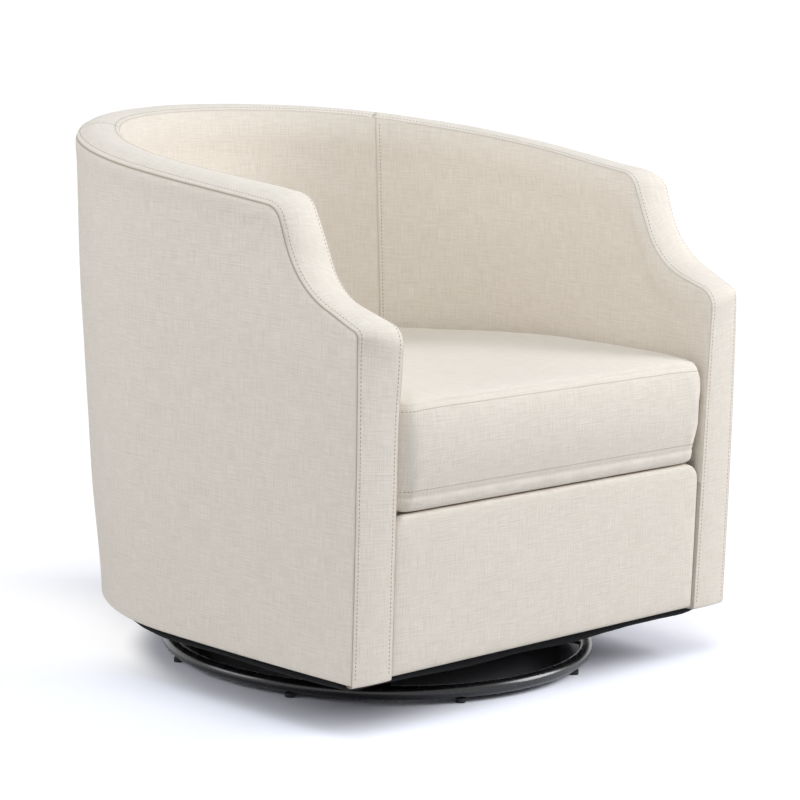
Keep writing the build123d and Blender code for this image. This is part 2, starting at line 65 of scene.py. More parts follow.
@dataclass(frozen=True)
class Barrel:
    """The tapering barrel that every cover follows.

    A station t runs from 0 at the front of the left arm over 1 at the middle of the back to 2 at
    the front of the right arm.
    """

    front: float = -386.5
    back: float = 386.5
    skirt: float = 75.0
    foot_half: float = 362.0
    foot_radius: float = 372.0
    foot_centre: float = -46.5
    rim_half: float = 370.0
    rim_radius: float = 387.0
    rim_height: float = 724.0
    rim_tilt: float = math.radians(5.63)
    crown: float = 9.0
    wall: float = 61.0
    straight_share: float = 0.38
    halvings: int = 40

    @property
    def rim_centre(self) -> float:
        """Centre of the rim's back curve, along Y."""
        return self.back - self.rim_radius * math.cos(self.rim_tilt)

    def crest(self, y: Array) -> Array:
        """Height of the sloping crest plane above y."""
        return self.rim_height - math.tan(self.rim_tilt) * (self.back - y)

    def _plan(
        self, t: Array, half: float, radius: float, centre: float, inset: Array
    ) -> tuple[Array, Array]:
        """Plan outline of the left half.

        Args:
            t: Stations from 0 to 1.
            half: Half width at the front.
            radius: Radius of the back curve.
            centre: Centre of the back curve, along Y.
            inset: How far the outline is drawn in.

        Returns:
            The x and y of each station.
        """
        round_ = radius - inset
        bow = radius - half
        run = centre - self.front
        rho = (bow * bow + run * run) / (2 * bow)
        share = np.clip(t / self.straight_share, 0, 1)
        y_side = self.front + share * run
        x_side = -(round_ - (rho - np.sqrt(rho * rho - (y_side - centre) ** 2)))
        turn = np.clip((t - self.straight_share) / (1 - self.straight_share), 0, 1) * math.pi / 2
        on_side = t < self.straight_share
        x = np.where(on_side, x_side, -round_ * np.cos(turn))
        y = np.where(on_side, y_side, centre + round_ * np.sin(turn))
        return x, y

    def point(self, t: Array, z: Array, inset: Array = 0.0) -> Array:
        """A point of the barrel's wall.

        Args:
            t: Stations from 0 to 2.
            z: Heights.
            inset: How far inside the outer face.

        Returns:
            Points as an array of shape (..., 3).
        """
        t, z, inset = np.broadcast_arrays(*(np.asarray(value, float) for value in (t, z, inset)))
        near = np.where(t > 1, 2 - t, t)
        lean = math.cos(self.rim_tilt)
        fx, fy = self._plan(near, self.foot_half, self.foot_radius, self.foot_centre, inset)
        rx, ry = self._plan(near, self.rim_half, self.rim_radius, self.rim_centre, inset)
        ry = self.rim_centre + (ry - self.rim_centre) * np.where(near < self.straight_share, 1.0, lean)
        rz = self.crest(ry) - self.crown
        share = (z - self.skirt) / (rz - self.skirt)
        x = fx + share * (rx - fx)
        y = fy + share * (ry - fy)
        return np.stack([np.where(t > 1, -x, x), y, z], -1)

    def station(self, y: Array, z: Array, inset: float) -> Array:
        """The station of the left half where the wall at height z lies at y."""
        y, z = np.broadcast_arrays(np.asarray(y, float), np.asarray(z, float))
        low, high = np.zeros(y.shape), np.ones(y.shape)
        for _ in range(self.halvings):
            mid = (low + high) / 2
            ahead = self.point(mid, z, inset)[..., 1] < y
            low, high = np.where(ahead, mid, low), np.where(ahead, high, mid)
        return (low + high) / 2

    def back_station(self, angle: float) -> float:
        """The station of the left half at angle degrees from straight back."""
        return self.straight_share + (1 - self.straight_share) * (1 - angle / 90)

    def outward(self, t: Array, z: Array) -> Array:
        """Unit normals of the outer face."""
        step = 1e-3
        along = self.point(t + step, z) - self.point(t - step, z)
        up = self.point(t, z + 1) - self.point(t, z - 1)
        normal = np.cross(up, along)
        return normal / np.linalg.norm(normal, axis=-1, keepdims=True)


BARREL = Barrel()


def smooth(share: Array) -> Array:
    """Eases from 0 to 1 and stays there on either side."""
    share = np.clip(share, 0, 1)
    return share * share * (3 - 2 * share)


def bell(distance: Array, width: float) -> Array:
    """1 at no distance, falling away on both sides over the width."""
    return np.exp(-((distance / width) ** 2))


@dataclass(frozen=True)
class Ridge:
    """A soft ridge along a line: how high it is, how far from the line and how wide."""

    height: float
    distance: float
    width: float

    def rise(self, gap: Array) -> Array:
        """How high the ridge is at each distance from the line."""
        return self.height * bell(gap - self.distance, self.width)


@dataclass(frozen=True)
class ArmShape:
    """How the padding changes the plain barrel: arms drawn in at the scoop, their fronts slanted."""

    outer_foot: float = -1.0
    outer_rise: float = 0.0082
    outer_scoop: float = 5.8
    inner_foot: float = 7.0
    inner_rise: float = 0.003
    inner_scoop: float = 7.6
    low: float = 480.0
    span: float = 140.0
    arm_climb: float = 430.0
    draw_start: float = -20.0
    draw_run: float = 180.0
    top_in: float = 2.2
    top_low: float = 390.0
    top_span: float = 90.0
    top_start: float = -290.0
    front_start: float = -320.0
    front_run: float = 60.0
    outer_slant: tuple[float, float] = (0.7, 5.8)
    inner_slant: tuple[float, float] = (-2.3, -1.4)

    def apply(self, p: Array, across: Array) -> Array:
        """Moves points of the plain barrel.

        Args:
            p: Points of shape (..., 3).
            across: 0 for points of the outer face, 1 for the inner face.

        Returns:
            The moved points.
        """
        z = p[..., 2]
        climb = np.clip(z - BARREL.skirt, 0, None)
        scoop = smooth((z - self.low) / self.span)
        on_arm = np.minimum(climb, self.arm_climb)
        outer = self.outer_foot + self.outer_rise * on_arm + self.outer_scoop * scoop
        inner = self.inner_foot + self.inner_rise * on_arm + self.inner_scoop * scoop
        draw = (outer + (inner - outer) * across) * smooth((self.draw_start - p[..., 1]) / self.draw_run)
        share = np.clip(climb / self.arm_climb, 0, 1.1)
        top = self.top_in * smooth((z - self.top_low) / self.top_span)
        top = top * smooth((self.top_start - p[..., 1]) / self.front_run) * across
        outer_slant = self.outer_slant[0] + self.outer_slant[1] * share**3
        inner_slant = self.inner_slant[0] + self.inner_slant[1] * share
        slant = outer_slant * (1 - across) + inner_slant * across - top
        q = p.copy()
        q[..., 0] -= np.sign(p[..., 0]) * (draw + top)
        q[..., 1] += slant * smooth((self.front_start - p[..., 1]) / self.front_run)
        return q


ARM_SHAPE = ArmShape()


@dataclass(frozen=True)
class SeamProfile:
    """One seam of the arm's band, seen from the side, from the floor up and along to the rim."""

    corner_height: float
    setback: float
    corner_radius: float
    arm_slope: float
    scoop_setback: float
    scoop_slope: float
    scoop_radius: float
    shoulder_radius: float
    drop: float
    inset: float
    lift: Ridge = Ridge(0.0, 250.0, 70.0)
    rim_run: float = 60.0
    counts: tuple[int, ...] = (64, 9, 14, 18, 12, 10, 120)

    def path(self) -> tuple[Array, Array]:
        """The seam over the left half.

        Returns:
            Stations and heights, matched in number and place with the other seam's.
        """
        first = np.array([BARREL.front + self.setback, BARREL.skirt])
        corner = np.array([BARREL.front + self.setback, self.corner_height])
        low = corner + self.scoop_setback * np.array([1, math.tan(math.radians(self.arm_slope))])
        steep, tilt = math.tan(math.radians(self.scoop_slope)), math.tan(BARREL.rim_tilt)
        rim_at_low = BARREL.crest(low[0]) - self.drop
        shoulder_y = low[0] + (rim_at_low - low[1]) / (steep - tilt)
        shoulder = np.array([shoulder_y, BARREL.crest(shoulder_y) - self.drop])
        last = shoulder + self.rim_run * np.array([1, tilt])
        knots = [first, corner, low, shoulder, last]
        radii = [self.corner_radius, self.scoop_radius, self.shoulder_radius]
        arcs = [fillet_arc(knots[i : i + 3], radii[i], self.counts[1 + 2 * i]) for i in range(3)]
        lines = [np.linspace(first, arcs[0][0], self.counts[0])]
        for i in range(2):
            lines.append(np.linspace(arcs[i][-1], arcs[i + 1][0], self.counts[2 + 2 * i]))
        chain = np.vstack([lines[0], arcs[0][1:], lines[1][1:], arcs[1][1:], lines[2][1:], arcs[2][1:]])
        stations = BARREL.station(chain[:, 0], chain[:, 1], self.inset)
        rim_t = np.linspace(stations[-1], 1, self.counts[6])[1:]
        rim_z = np.full(rim_t.shape, BARREL.crest(0.0))
        for _ in range(6):
            y = BARREL.point(rim_t, rim_z, self.inset)[:, 1]
            rim_z = BARREL.crest(y) - self.drop + self.lift.rise(y)
        return np.concatenate([stations, rim_t]), np.concatenate([chain[:, 1], rim_z])

    def height(self, t: Array) -> Array:
        """Height of the seam over any station from 0 to 2."""
        stations, heights = self.path()
        top = self.counts[0] - 1
        return np.interp(np.where(t > 1, 2 - t, t), stations[top:], heights[top:])


def fillet_arc(knots: list[Array], radius: float, count: int) -> Array:
    """Points of the arc that rounds the middle one of three knots."""
    before, knot, after = knots
    a = (before - knot) / np.linalg.norm(before - knot)
    b = (after - knot) / np.linalg.norm(after - knot)
    half = math.acos(float(np.clip(a @ b, -1, 1))) / 2
    centre = knot + (a + b) / np.linalg.norm(a + b) * radius / math.sin(half)
    start = knot + a * radius / math.tan(half) - centre
    end = knot + b * radius / math.tan(half) - centre
    turn = math.atan2(start[0] * end[1] - start[1] * end[0], start @ end)
    angles = np.linspace(0, turn, count)
    x = start[0] * np.cos(angles) - start[1] * np.sin(angles)
    y = start[0] * np.sin(angles) + start[1] * np.cos(angles)
    return centre + np.stack([x, y], -1)


SEAM_TUCK = 1.0
OUTER_SEAM = SeamProfile(
    corner_height=512.0,
    setback=1.2,
    corner_radius=10.0,
    arm_slope=21.1,
    scoop_setback=111.9,
    scoop_slope=69.2,
    scoop_radius=132.6,
    shoulder_radius=25.0,
    drop=11.0,
    inset=SEAM_TUCK,
)
INNER_SEAM = SeamProfile(
    corner_height=513.0,
    setback=1.8,
    corner_radius=27.0,
    arm_slope=17.5,
    scoop_setback=98.0,
    scoop_slope=64.4,
    scoop_radius=99.5,
    shoulder_radius=32.0,
    drop=0.8,
    inset=BARREL.wall - SEAM_TUCK,
    lift=Ridge(3.5, 250.0, 70.0),
)


# Mesh helpers -----------------------------------------------------------------------------


def deselect() -> None:
    """Leaves nothing selected, so that an operator acts on its own piece alone."""
    bpy.ops.object.select_all(action="DESELECT")
    bpy.context.view_layer.objects.active = None


def pick(obj: bpy.types.Object) -> None:
    """Makes obj the one selected and active object."""
    deselect()
    obj.select_set(True)
    bpy.context.view_layer.objects.active = obj


def grid_faces(rows: int, columns: int, close: bool = False) -> Array:
    """Quads of a grid of points that is stored row by row."""
    i, j = np.meshgrid(np.arange(rows - 1), np.arange(columns if close else columns - 1), indexing="ij")
    k = (j + 1) % columns
    row, after = i * columns, (i + 1) * columns
    return np.stack([row + j, row + k, after + k, after + j], -1).reshape(-1, 4)


def mesh_object(
    name: str, points: Array, faces: Array, uv: Array | None = None, seam: Array | None = None
) -> bpy.types.Object:
    """A new object from points in millimetres.

    Args:
        name: Name of the object and its mesh.
        points: Vertex places in millimetres.
        faces: Vertex numbers of each face.
        uv: Cloth coordinates of each vertex, in metres.
        seam: 1 where a vertex lies in a seam, falling to 0 beside it; the cloth material darkens its
            colour by this as painted shade.

    Returns:
        The object, at the origin, shaded smooth.
    """
    mesh = bpy.data.meshes.new(name)
    places = (np.asarray(points, float).reshape(-1, 3) * MM).tolist()
    mesh.from_pydata(places, [], [list(map(int, f)) for f in faces])
    if uv is not None:
        layer = mesh.uv_layers.new(name="cloth")
        loops = np.zeros(len(mesh.loops), np.int32)
        mesh.loops.foreach_get("vertex_index", loops)
        layer.data.foreach_set("uv", np.asarray(uv, np.float32).reshape(-1, 2)[loops].ravel())
    # the seam attribute carries the painted seam shade
    if seam is not None:
        mark = mesh.attributes.new("seam", "FLOAT", "POINT")
        mark.data.foreach_set("value", np.asarray(seam, np.float32).ravel())
    mesh.polygons.foreach_set("use_smooth", [True] * len(mesh.polygons))
    mesh.update()
    obj = bpy.data.objects.new(name, mesh)
    bpy.context.scene.collection.objects.link(obj)
    return obj


def apply_modifier(obj: bpy.types.Object, kind: str, **values: object) -> None:
    """Adds a modifier, sets it and applies it."""
    pick(obj)
    modifier = obj.modifiers.new(kind.lower(), kind)
    for key, value in values.items():
        setattr(modifier, key, value)
    bpy.ops.object.modifier_apply(modifier=modifier.name)


def thicken(obj: bpy.types.Object, thickness: float) -> None:
    """Gives a sheet its thickness, inwards from the face that shows."""
    apply_modifier(obj, "SOLIDIFY", thickness=thickness * MM, offset=-1, use_even_offset=False)


def running_length(points: Array) -> Array:
    """Distance along a line of points, from 0."""
    return np.concatenate([[0], np.cumsum(np.linalg.norm(np.diff(points, axis=0), axis=1))])


def soft_noise(points: Array, scale: float, seed: float = 0.0) -> Array:
    """Smooth noise from -1 to 1 at points in millimetres, with features about scale wide."""
    flat = np.asarray(points, float).reshape(-1, 3) / scale + seed
    values = [noise.noise(Vector(p)) for p in flat]
    return np.array(values).reshape(np.asarray(points).shape[:-1])


def rumple(points: Array, *waves: tuple[float, float, float]) -> Array:
    """The unevenness of cloth: a sum of waves, each given by its height, its width and a seed."""
    return sum(height * soft_noise(points, width, seed) for height, width, seed in waves)


def graded(low: float, high: float, count: int, ends: float = 0.6) -> Array:
    """Numbers from low to high that lie closer together near both ends."""
    s = np.linspace(0, 1, count)
    eased = (1 - np.cos(np.pi * s)) / 2
    return low + (high - low) * ((1 - ends) * s + ends * eased)


# Covers -----------------------------------------------------------------------------------


CLOTH_THICKNESS = 1.2
FOLD_RADIUS = 3.0  # of the roll where a cover turns under the chair
INSIDE_SEAM_SHADE = 0.42  # strength of the painted shade in the seams within the barrel, weaker than in those outside it
# width of the painted shade beside each seam
SEAM_SHADE_WIDTH = 0.8
STITCH_INSET = 5.5  # from a seam to the topstitch beside it


def seam_mark(distance: Array) -> Array:
    """Strength of the painted shade of a seam: 1 in the seam, falling to 0 over the first millimetres
    beside it.
    """
    return bell(distance, SEAM_SHADE_WIDTH)


@dataclass
class Band:
    """The border band: up the arm fronts, along the arms and scoops and round the rim."""

    front_swell: float = 2.0
    arm_swell: float = 8.5
    rim_swell: float = 9.5
    back_swell: Ridge = Ridge(1.5, 190.0, 150.0)
    arm_top: float = 470.0
    shoulder: float = -262.0
    easing: float = 60.0
    fullness: float = 0.74
    arm_skew: float = 0.04
    rim_skew: float = 0.02
    across: int = 30
    grading: float = 0.75
    seam_angle: float = 48.4
    cross_dip: float = 0.55
    cross_width: float = 2.4
    # strength of the painted shade along the cross seams
    cross_mark: float = 0.22
    flap: float = 6.0
    foot_flap: float = 26.0
    foot_top: float = 300.0
    foot_easing: float = 30.0
    flap_lean: tuple[float, float] = (1.5, -0.3)
    hem: float = 18.0
    hem_taper: float = 0.4

    @property
    def shares(self) -> Array:
        """Where the band's points lie across it, from 0 at the outer seam to 1 at the inner."""
        return graded(0, 1, self.across, self.grading)

    def lines(self) -> tuple[Array, Array, Array, Array]:
        """Both seams of the whole band and how its padding swells between them.

        Returns:
            Outer seam, inner seam and, for each of their points, the height of the swell and how
            far across the band it peaks, as a share of the width.
        """
        halves = []
        for seam in (OUTER_SEAM, INNER_SEAM):
            t, z = seam.path()
            left = BARREL.point(t, z, seam.inset)
            top = seam.counts[0] - 1
            left[:top, 1] = BARREL.front + seam.setback
            left = ARM_SHAPE.apply(left, np.full(len(left), float(seam is INNER_SEAM)))
            right = left[-2::-1] * np.array([-1, 1, 1])
            halves.append(np.vstack([left, right]))
        outer, inner = halves
        mid = (outer + inner) / 2
        rise = smooth((mid[:, 2] - self.arm_top) / self.easing)
        rim = smooth((mid[:, 1] - self.shoulder) / self.easing)
        swell = self.front_swell + (self.arm_swell - self.front_swell) * rise
        swell = swell + (self.rim_swell - self.arm_swell) * rim
        swell = swell + self.back_swell.rise(mid[:, 1]) * rim
        peak = 0.5 - self.arm_skew * rise - self.rim_skew * rim
        return outer, inner, swell, peak

    def surface(self) -> tuple[Array, Array, Array]:
        """The band's grid of points, its normals and its cloth coordinates."""
        outer, inner, swell, peak = self.lines()
        chord = inner - outer
        mid = (outer + inner) / 2
        along = np.gradient(mid, axis=0)
        normal = np.cross(chord, along)
        normal /= np.linalg.norm(normal, axis=1, keepdims=True)
        kernel = np.array([1, 2, 3, 2, 1]) / 9.0
        for axis in range(3):
            padded = np.pad(normal[:, axis], 2, mode="edge")
            normal[:, axis] = np.convolve(padded, kernel, "valid")
        normal /= np.linalg.norm(normal, axis=1, keepdims=True)
        q = self.shares
        power = np.log(0.5) / np.log(peak)
        puff = np.sin(np.pi * q[None, :] ** power[:, None])
        puff = np.clip(puff, 0, None) ** self.fullness
        points = outer[:, None] + chord[:, None] * q[None, :, None]
        points = points + normal[:, None] * (swell[:, None] * puff)[..., None]
        uneven = rumple(points, (0.5, 60, 3.1), (0.22, 19, 8.4))
        points = points + normal[:, None] * (uneven * np.sin(np.pi * q)[None, :])[..., None]
        width = np.linalg.norm(chord, axis=1)[:, None] * q[None, :]
        length = np.repeat(running_length(mid)[:, None], self.across, 1)
        return points, normal, np.stack([width, length], -1) * MM

    def panels(self) -> list[bpy.types.Object]:
        """The three sewn pieces of the band, each with its seams turned in."""
        points, normal, cloth = self.surface()
        outer, inner, _, _ = self.lines()
        stations = OUTER_SEAM.path()[0]
        cut = int(np.argmin(np.abs(stations - BARREL.back_station(self.seam_angle))))
        total = len(points)
        made = []
        for side, first, last in (
            (Side.LEFT, 0, cut),
            (Side.BACK, cut, total - 1 - cut),
            (Side.RIGHT, total - 1 - cut, total - 1),
        ):
            rows = slice(first, last + 1)
            p, n, uv = points[rows].copy(), normal[rows], cloth[rows]
            run = running_length((outer + inner)[rows] / 2)
            width = np.linalg.norm((outer - inner)[rows], axis=1)[:, None]
            q = self.shares[None, :]
            # painted shade along both seams, full at the outer one and weaker at the inner
            mark = np.maximum(seam_mark(width * q), INSIDE_SEAM_SHADE * seam_mark(width * (1 - q)))
            for end, distance in ((0, run), (1, run[-1] - run)):
                foot = (side is Side.LEFT and end == 0) or (side is Side.RIGHT and end == 1)
                if not foot:
                    dip = self.cross_dip * bell(distance, self.cross_width)
                    p -= n[:, None] * dip[:, None, None]
                    # painted shade along the cross seam
                    mark = np.maximum(mark, self.cross_mark * seam_mark(distance)[:, None])
            p, uv = self._turn_in(p, n, uv, outer[rows], inner[rows])
            mark = np.pad(mark, ((0, 0), (1, 1)), mode="edge")
            if side is not Side.BACK:
                p, uv = self._hem(p, uv, side is Side.LEFT)
                mark = np.pad(mark, ((6, 0) if side is Side.LEFT else (0, 6), (0, 0)), mode="edge")
            obj = mesh_object(f"band_{side.value}", p, grid_faces(p.shape[0], p.shape[1]), uv, mark)
            thicken(obj, CLOTH_THICKNESS)
            made.append(obj)
        return made

    def stitch_lines(self) -> list[tuple[Array, Array]]:
        """Lines of topstitches beside both seams, with their normals."""
        points, normal, _ = self.surface()
        width = np.linalg.norm(points[:, -1] - points[:, 0], axis=1)
        lines = []
        for share in (STITCH_INSET / width, 1 - STITCH_INSET / width):
            row = np.array([along_line(s, self.shares, across) for s, across in zip(share, points)])
            keep = row[:, 2] > BARREL.skirt + 4
            lines.append((row[keep], normal[keep]))
        return lines

    def _turn_in(self, p: Array, n: Array, uv: Array, outer: Array, inner: Array) -> tuple[Array, Array]:
        """Adds the seam allowances that fold in along both edges.

        Args:
            p: Grid of points.
            n: Normals along the band.
            uv: Cloth coordinates of the grid.
            outer: The outer seam.
            inner: The inner seam.

        Returns:
            The wider grid and its cloth coordinates.
        """
        chord = (inner - outer) / np.linalg.norm(inner - outer, axis=1, keepdims=True)
        low = np.clip((self.foot_top - outer[:, 2]) / self.foot_easing, 0, 1)[:, None]
        depth = self.flap + (self.foot_flap - self.flap) * low
        left = p[:, 0] - n * self.flap + chord * self.flap_lean[0]
        right = p[:, -1] - n * depth + chord * self.flap_lean[1]
        grid = np.concatenate([left[:, None], p, right[:, None]], 1)
        wider = [self.flap * MM, 0]
        cloth = np.concatenate([uv[:, :1] - wider, uv, uv[:, -1:] + wider], 1)
        return grid, cloth

    def _hem(self, p: Array, uv: Array, at_start: bool) -> tuple[Array, Array]:
        """Rolls the lower end of the arm front under the chair.

        Args:
            p: Grid of points.
            uv: Cloth coordinates of the grid.
            at_start: Whether the foot is the grid's first row.

        Returns:
            The longer grid and its cloth coordinates.
        """
        end = p[0] if at_start else p[-1]
        uv_end = uv[0] if at_start else uv[-1]
        rows, cloths = [], []
        for k in range(1, 6):
            turn = k * math.pi / 10
            back = FOLD_RADIUS * (1 - math.cos(turn))
            up = -FOLD_RADIUS * math.sin(turn) + FOLD_RADIUS
            rows.append(end + np.array([0, back, up]))
            cloths.append(uv_end - [0, k * MM])
        base = rows[-1].copy()
        rows = [r - [0, 0, FOLD_RADIUS] for r in rows]
        narrow = (base.mean(axis=0) - base) * [self.hem_taper, 0, 0]
        rows.append(base + narrow + [0, self.hem, -FOLD_RADIUS])
        cloths.append(uv_end - [0, 25 * MM])
        body = p.copy()
        lowest = BARREL.skirt + FOLD_RADIUS
        low = body[..., 2] < lowest
        body[low] = np.where(np.arange(3) == 2, lowest, body[low])
        rows, cloths = np.array(rows), np.array(cloths)
        if at_start:
            return np.concatenate([rows[::-1], body]), np.concatenate([cloths[::-1], uv])
        return np.concatenate([body, rows]), np.concatenate([uv, cloths])


@dataclass
class WallCovers:
    """The outside and inside covers, each in three panels between the seams."""

    outside_angle: float = 36.0
    inside_angle: float = 48.4
    inside_foot: float = 250.0
    roll: Ridge = Ridge(3.2, 30.0, 20.0)
    roll_low: float = 455.0
    roll_easing: float = 70.0
    belly: float = 5.0
    belly_start: float = 0.3
    belly_run: float = 0.25
    belly_foot: float = 90.0
    belly_rise: float = 160.0
    belly_fall: float = 190.0
    swell_easing: float = 25.0
    roll_edge: float = 18.0
    # strength of the painted shade along the cross seams
    cross_mark: float = 0.5
    tuck_width: float = 2.6
    beside_edge: Ridge = Ridge(0.6, 12.0, 9.0)
    cross_tuck: float = 0.7
    cross_width: float = 2.2
    beside_cross: Ridge = Ridge(0.3, 9.0, 7.0)
    front_clear: float = 12.0
    shoulder: tuple[float, float] = (-232.0, 650.0)
    fan: Ridge = Ridge(1.0, 34.0, 26.0)
    fan_lines: int = 13
    scoop_end: float = 0.235
    crowding: float = 1.35
    turned_in: float = 5.0
    rows: int = 64
    roll_rows: int = 6
    hem: float = 14.0

    def columns(self, side: Side, angle: float) -> Array:
        """Stations of a panel's columns, closer together at its seams and at the scoop."""
        seam = BARREL.back_station(angle)
        if side is Side.BACK:
            return graded(seam, 2 - seam, 130, 0.7)
        arm = graded(0, self.scoop_end, 110, 0.35)
        near = np.concatenate([arm[:-1], graded(self.scoop_end, seam, 60, 0.5)])
        return near if side is Side.LEFT else (2 - near)[::-1]

    def _cross_gap(self, t: Array, side: Side, angle: float, z: Array, inset: float) -> Array:
        """Distance of each point from the nearest cross seam of a panel."""
        seam = BARREL.back_station(angle)
        ends = {Side.LEFT: [seam], Side.BACK: [seam, 2 - seam], Side.RIGHT: [2 - seam]}[side]
        here = BARREL.point(t, z, inset)
        gap = np.full(here.shape[:-1], 1e3)
        for end in ends:
            there = BARREL.point(np.full_like(t, end), z, inset)
            gap = np.minimum(gap, np.linalg.norm(here - there, axis=-1))
        return gap

    def face(self, t: Array, z: Array, side: Side, inside: bool) -> tuple[Array, Array]:
        """Points of a panel's face.

        Args:
            t: Stations, of the same shape as z.
            z: Heights.
            side: The panel.
            inside: Whether it is an inside cover.

        Returns:
            The points, and how far each lies in a seam, which sets the painted seam shade.
        """
        seam = INNER_SEAM if inside else OUTER_SEAM
        base = BARREL.wall if inside else 0.0
        sense = -1.0 if inside else 1.0
        below = (seam.height(t) - z) * 0.9
        near = np.where(t > 1, 2 - t, t)
        front_gap = BARREL.point(near, z, base)[..., 1] - BARREL.front + 1e-6
        edge = np.minimum(below, front_gap)
        cross = self._cross_gap(t, side, self.inside_angle if inside else self.outside_angle, z, base)
        tuck = SEAM_TUCK * bell(edge, self.tuck_width) - self.beside_edge.rise(edge)
        tuck = tuck + self.cross_tuck * SEAM_TUCK * bell(cross, self.cross_width)
        tuck = tuck - self.beside_cross.rise(cross)
        plain = BARREL.point(t, z, base + sense * tuck)
        swell = rumple(plain * [1, 1, 0.6], (0.9, 190, 5.7 if inside else 1.3))
        swell = (swell + rumple(plain, (0.28, 47, 2.2))) * np.clip(edge / self.swell_easing, 0, 1)
        swell = swell + self.gathers(plain, edge, inside)
        if not inside:
            belly = smooth((near - self.belly_start) / self.belly_run) * smooth(below / self.belly_fall)
            belly = belly * smooth((z - self.belly_foot) / self.belly_rise)
            swell = swell + self.belly * belly
        else:
            roll = self.roll.rise(below) * smooth((z - self.roll_low) / self.roll_easing)
            swell = swell + roll * smooth(edge / self.roll_edge)
        p = BARREL.point(t, z, base + sense * (tuck - swell))
        held_back = np.maximum(p[..., 1], BARREL.front + seam.setback)
        p[..., 1] = np.where(front_gap < self.front_clear, held_back, p[..., 1])
        p = ARM_SHAPE.apply(p, np.full(p.shape[:-1], float(inside)))
        # painted shade along the seams and, weaker, along the cross seams
        mark = np.maximum(seam_mark(edge), self.cross_mark * seam_mark(cross))
        return p, mark * (INSIDE_SEAM_SHADE if inside else 1.0)

    def _grid(self, side: Side, inside: bool) -> tuple[Array, Array, Array, Array]:
        """Points, cloth coordinates, inward directions and seam marks of one panel.

        Args:
            side: The panel.
            inside: Whether it is an inside cover.

        Returns:
            Grid of points, rows from the foot to the seam, its cloth coordinates, the unit
            vectors that lead from its face into the wall, and how far each lies in a seam.
        """
        seam = INNER_SEAM if inside else OUTER_SEAM
        sense = -1.0 if inside else 1.0
        foot = self.inside_foot if inside else BARREL.skirt + FOLD_RADIUS
        t = self.columns(side, self.inside_angle if inside else self.outside_angle)
        top = seam.height(t)
        v = np.sort(1 - graded(0, 1, self.rows, 0.3)[::-1] ** self.crowding)
        v = (v - v[0]) / (v[-1] - v[0])
        z = foot + (top - foot)[None, :] * v[:, None]
        tt = np.repeat(t[None, :], len(v), 0)
        p, mark = self.face(tt, z, side, inside)
        around = running_length(BARREL.point(t, np.full_like(t, 400.0), BARREL.wall if inside else 0.0))
        cloth = np.stack([np.repeat(around[None, :], len(v), 0), z], -1) * MM
        into = -sense * BARREL.outward(np.where(tt > 1, 2 - tt, tt), z)
        into[..., 0] = np.where(tt > 1, -into[..., 0], into[..., 0])
        return p, cloth, into, mark

    def cross_stitches(self) -> list[tuple[Array, Array]]:
        """Lines beside the two cross seams of the inside back, with their normals."""
        radius = BARREL.foot_radius - BARREL.wall
        step = STITCH_INSET / radius / (math.pi / 2) * (1 - BARREL.straight_share)
        near = BARREL.back_station(self.inside_angle) - step
        rows = []
        for side, t, mirror in ((Side.LEFT, near, 1), (Side.RIGHT, 2 - near, -1)):
            top = float(INNER_SEAM.height(np.array([t]))[0]) - 7
            z = np.linspace(self.inside_foot + 30, top, 120)
            p, _ = self.face(np.full_like(z, t), z, side, True)
            n = -BARREL.outward(np.full_like(z, min(t, 2 - t)), z)
            n[:, 0] *= mirror
            rows.append((p, n))
        return rows

    def gathers(self, p: Array, edge: Array, inside: bool) -> Array:
        """Small drag lines that fan out from the scoop's shoulder.

        Args:
            p: Points of the cover.
            edge: Distance of each from the nearest seam.
            inside: Whether they lie on an inside cover.

        Returns:
            How far each point stands out.
        """
        y, z = self.shoulder
        away = np.hypot(p[..., 1] - y, p[..., 2] - z)
        turn = np.arctan2(p[..., 2] - z, p[..., 1] - y)
        lines = np.sin(turn * self.fan_lines + 1.5 * np.sin(turn * 5)) * self.fan.rise(away)
        return (0.3 if inside else 0.55) * lines * np.clip(edge / 8, 0, 1)

    def panel(self, side: Side, inside: bool) -> bpy.types.Object:
        """One finished panel with its edges turned in."""
        p, cloth, away, mark = self._grid(side, inside)
        if not inside:
            p, cloth, away = self._roll_under(p, cloth, away)
            mark = np.pad(mark, ((self.roll_rows + 1, 0), (0, 0)), mode="edge")
        front = {Side.LEFT: 0, Side.RIGHT: -1}.get(side)
        for axis, index in ((0, -1), (1, 0), (1, -1)):
            lean = np.array([0, 0, -0.6] if axis == 0 else [0, 1.0 if index == front else 0, 0])
            edge = np.take(p, [index], axis) + (np.take(away, [index], axis) + lean) * self.turned_in
            cloth_edge = np.take(cloth, [index], axis)
            pieces = (edge, p) if index == 0 else (p, edge)
            cloths = (cloth_edge, cloth) if index == 0 else (cloth, cloth_edge)
            ways = (np.take(away, [index], axis), away)
            p = np.concatenate(pieces, axis)
            cloth = np.concatenate(cloths, axis)
            away = np.concatenate(ways if index == 0 else ways[::-1], axis)
            wider = [(0, 0), (0, 0)]
            wider[axis] = (1, 0) if index == 0 else (0, 1)
            mark = np.pad(mark, wider, mode="edge")
        faces = grid_faces(p.shape[0], p.shape[1])
        if not inside:
            faces = faces[:, ::-1]
        place = "inside" if inside else "outside"
        obj = mesh_object(f"{place}_cover_{side.value}", p, faces, cloth, mark)
        thicken(obj, CLOTH_THICKNESS)
        return obj

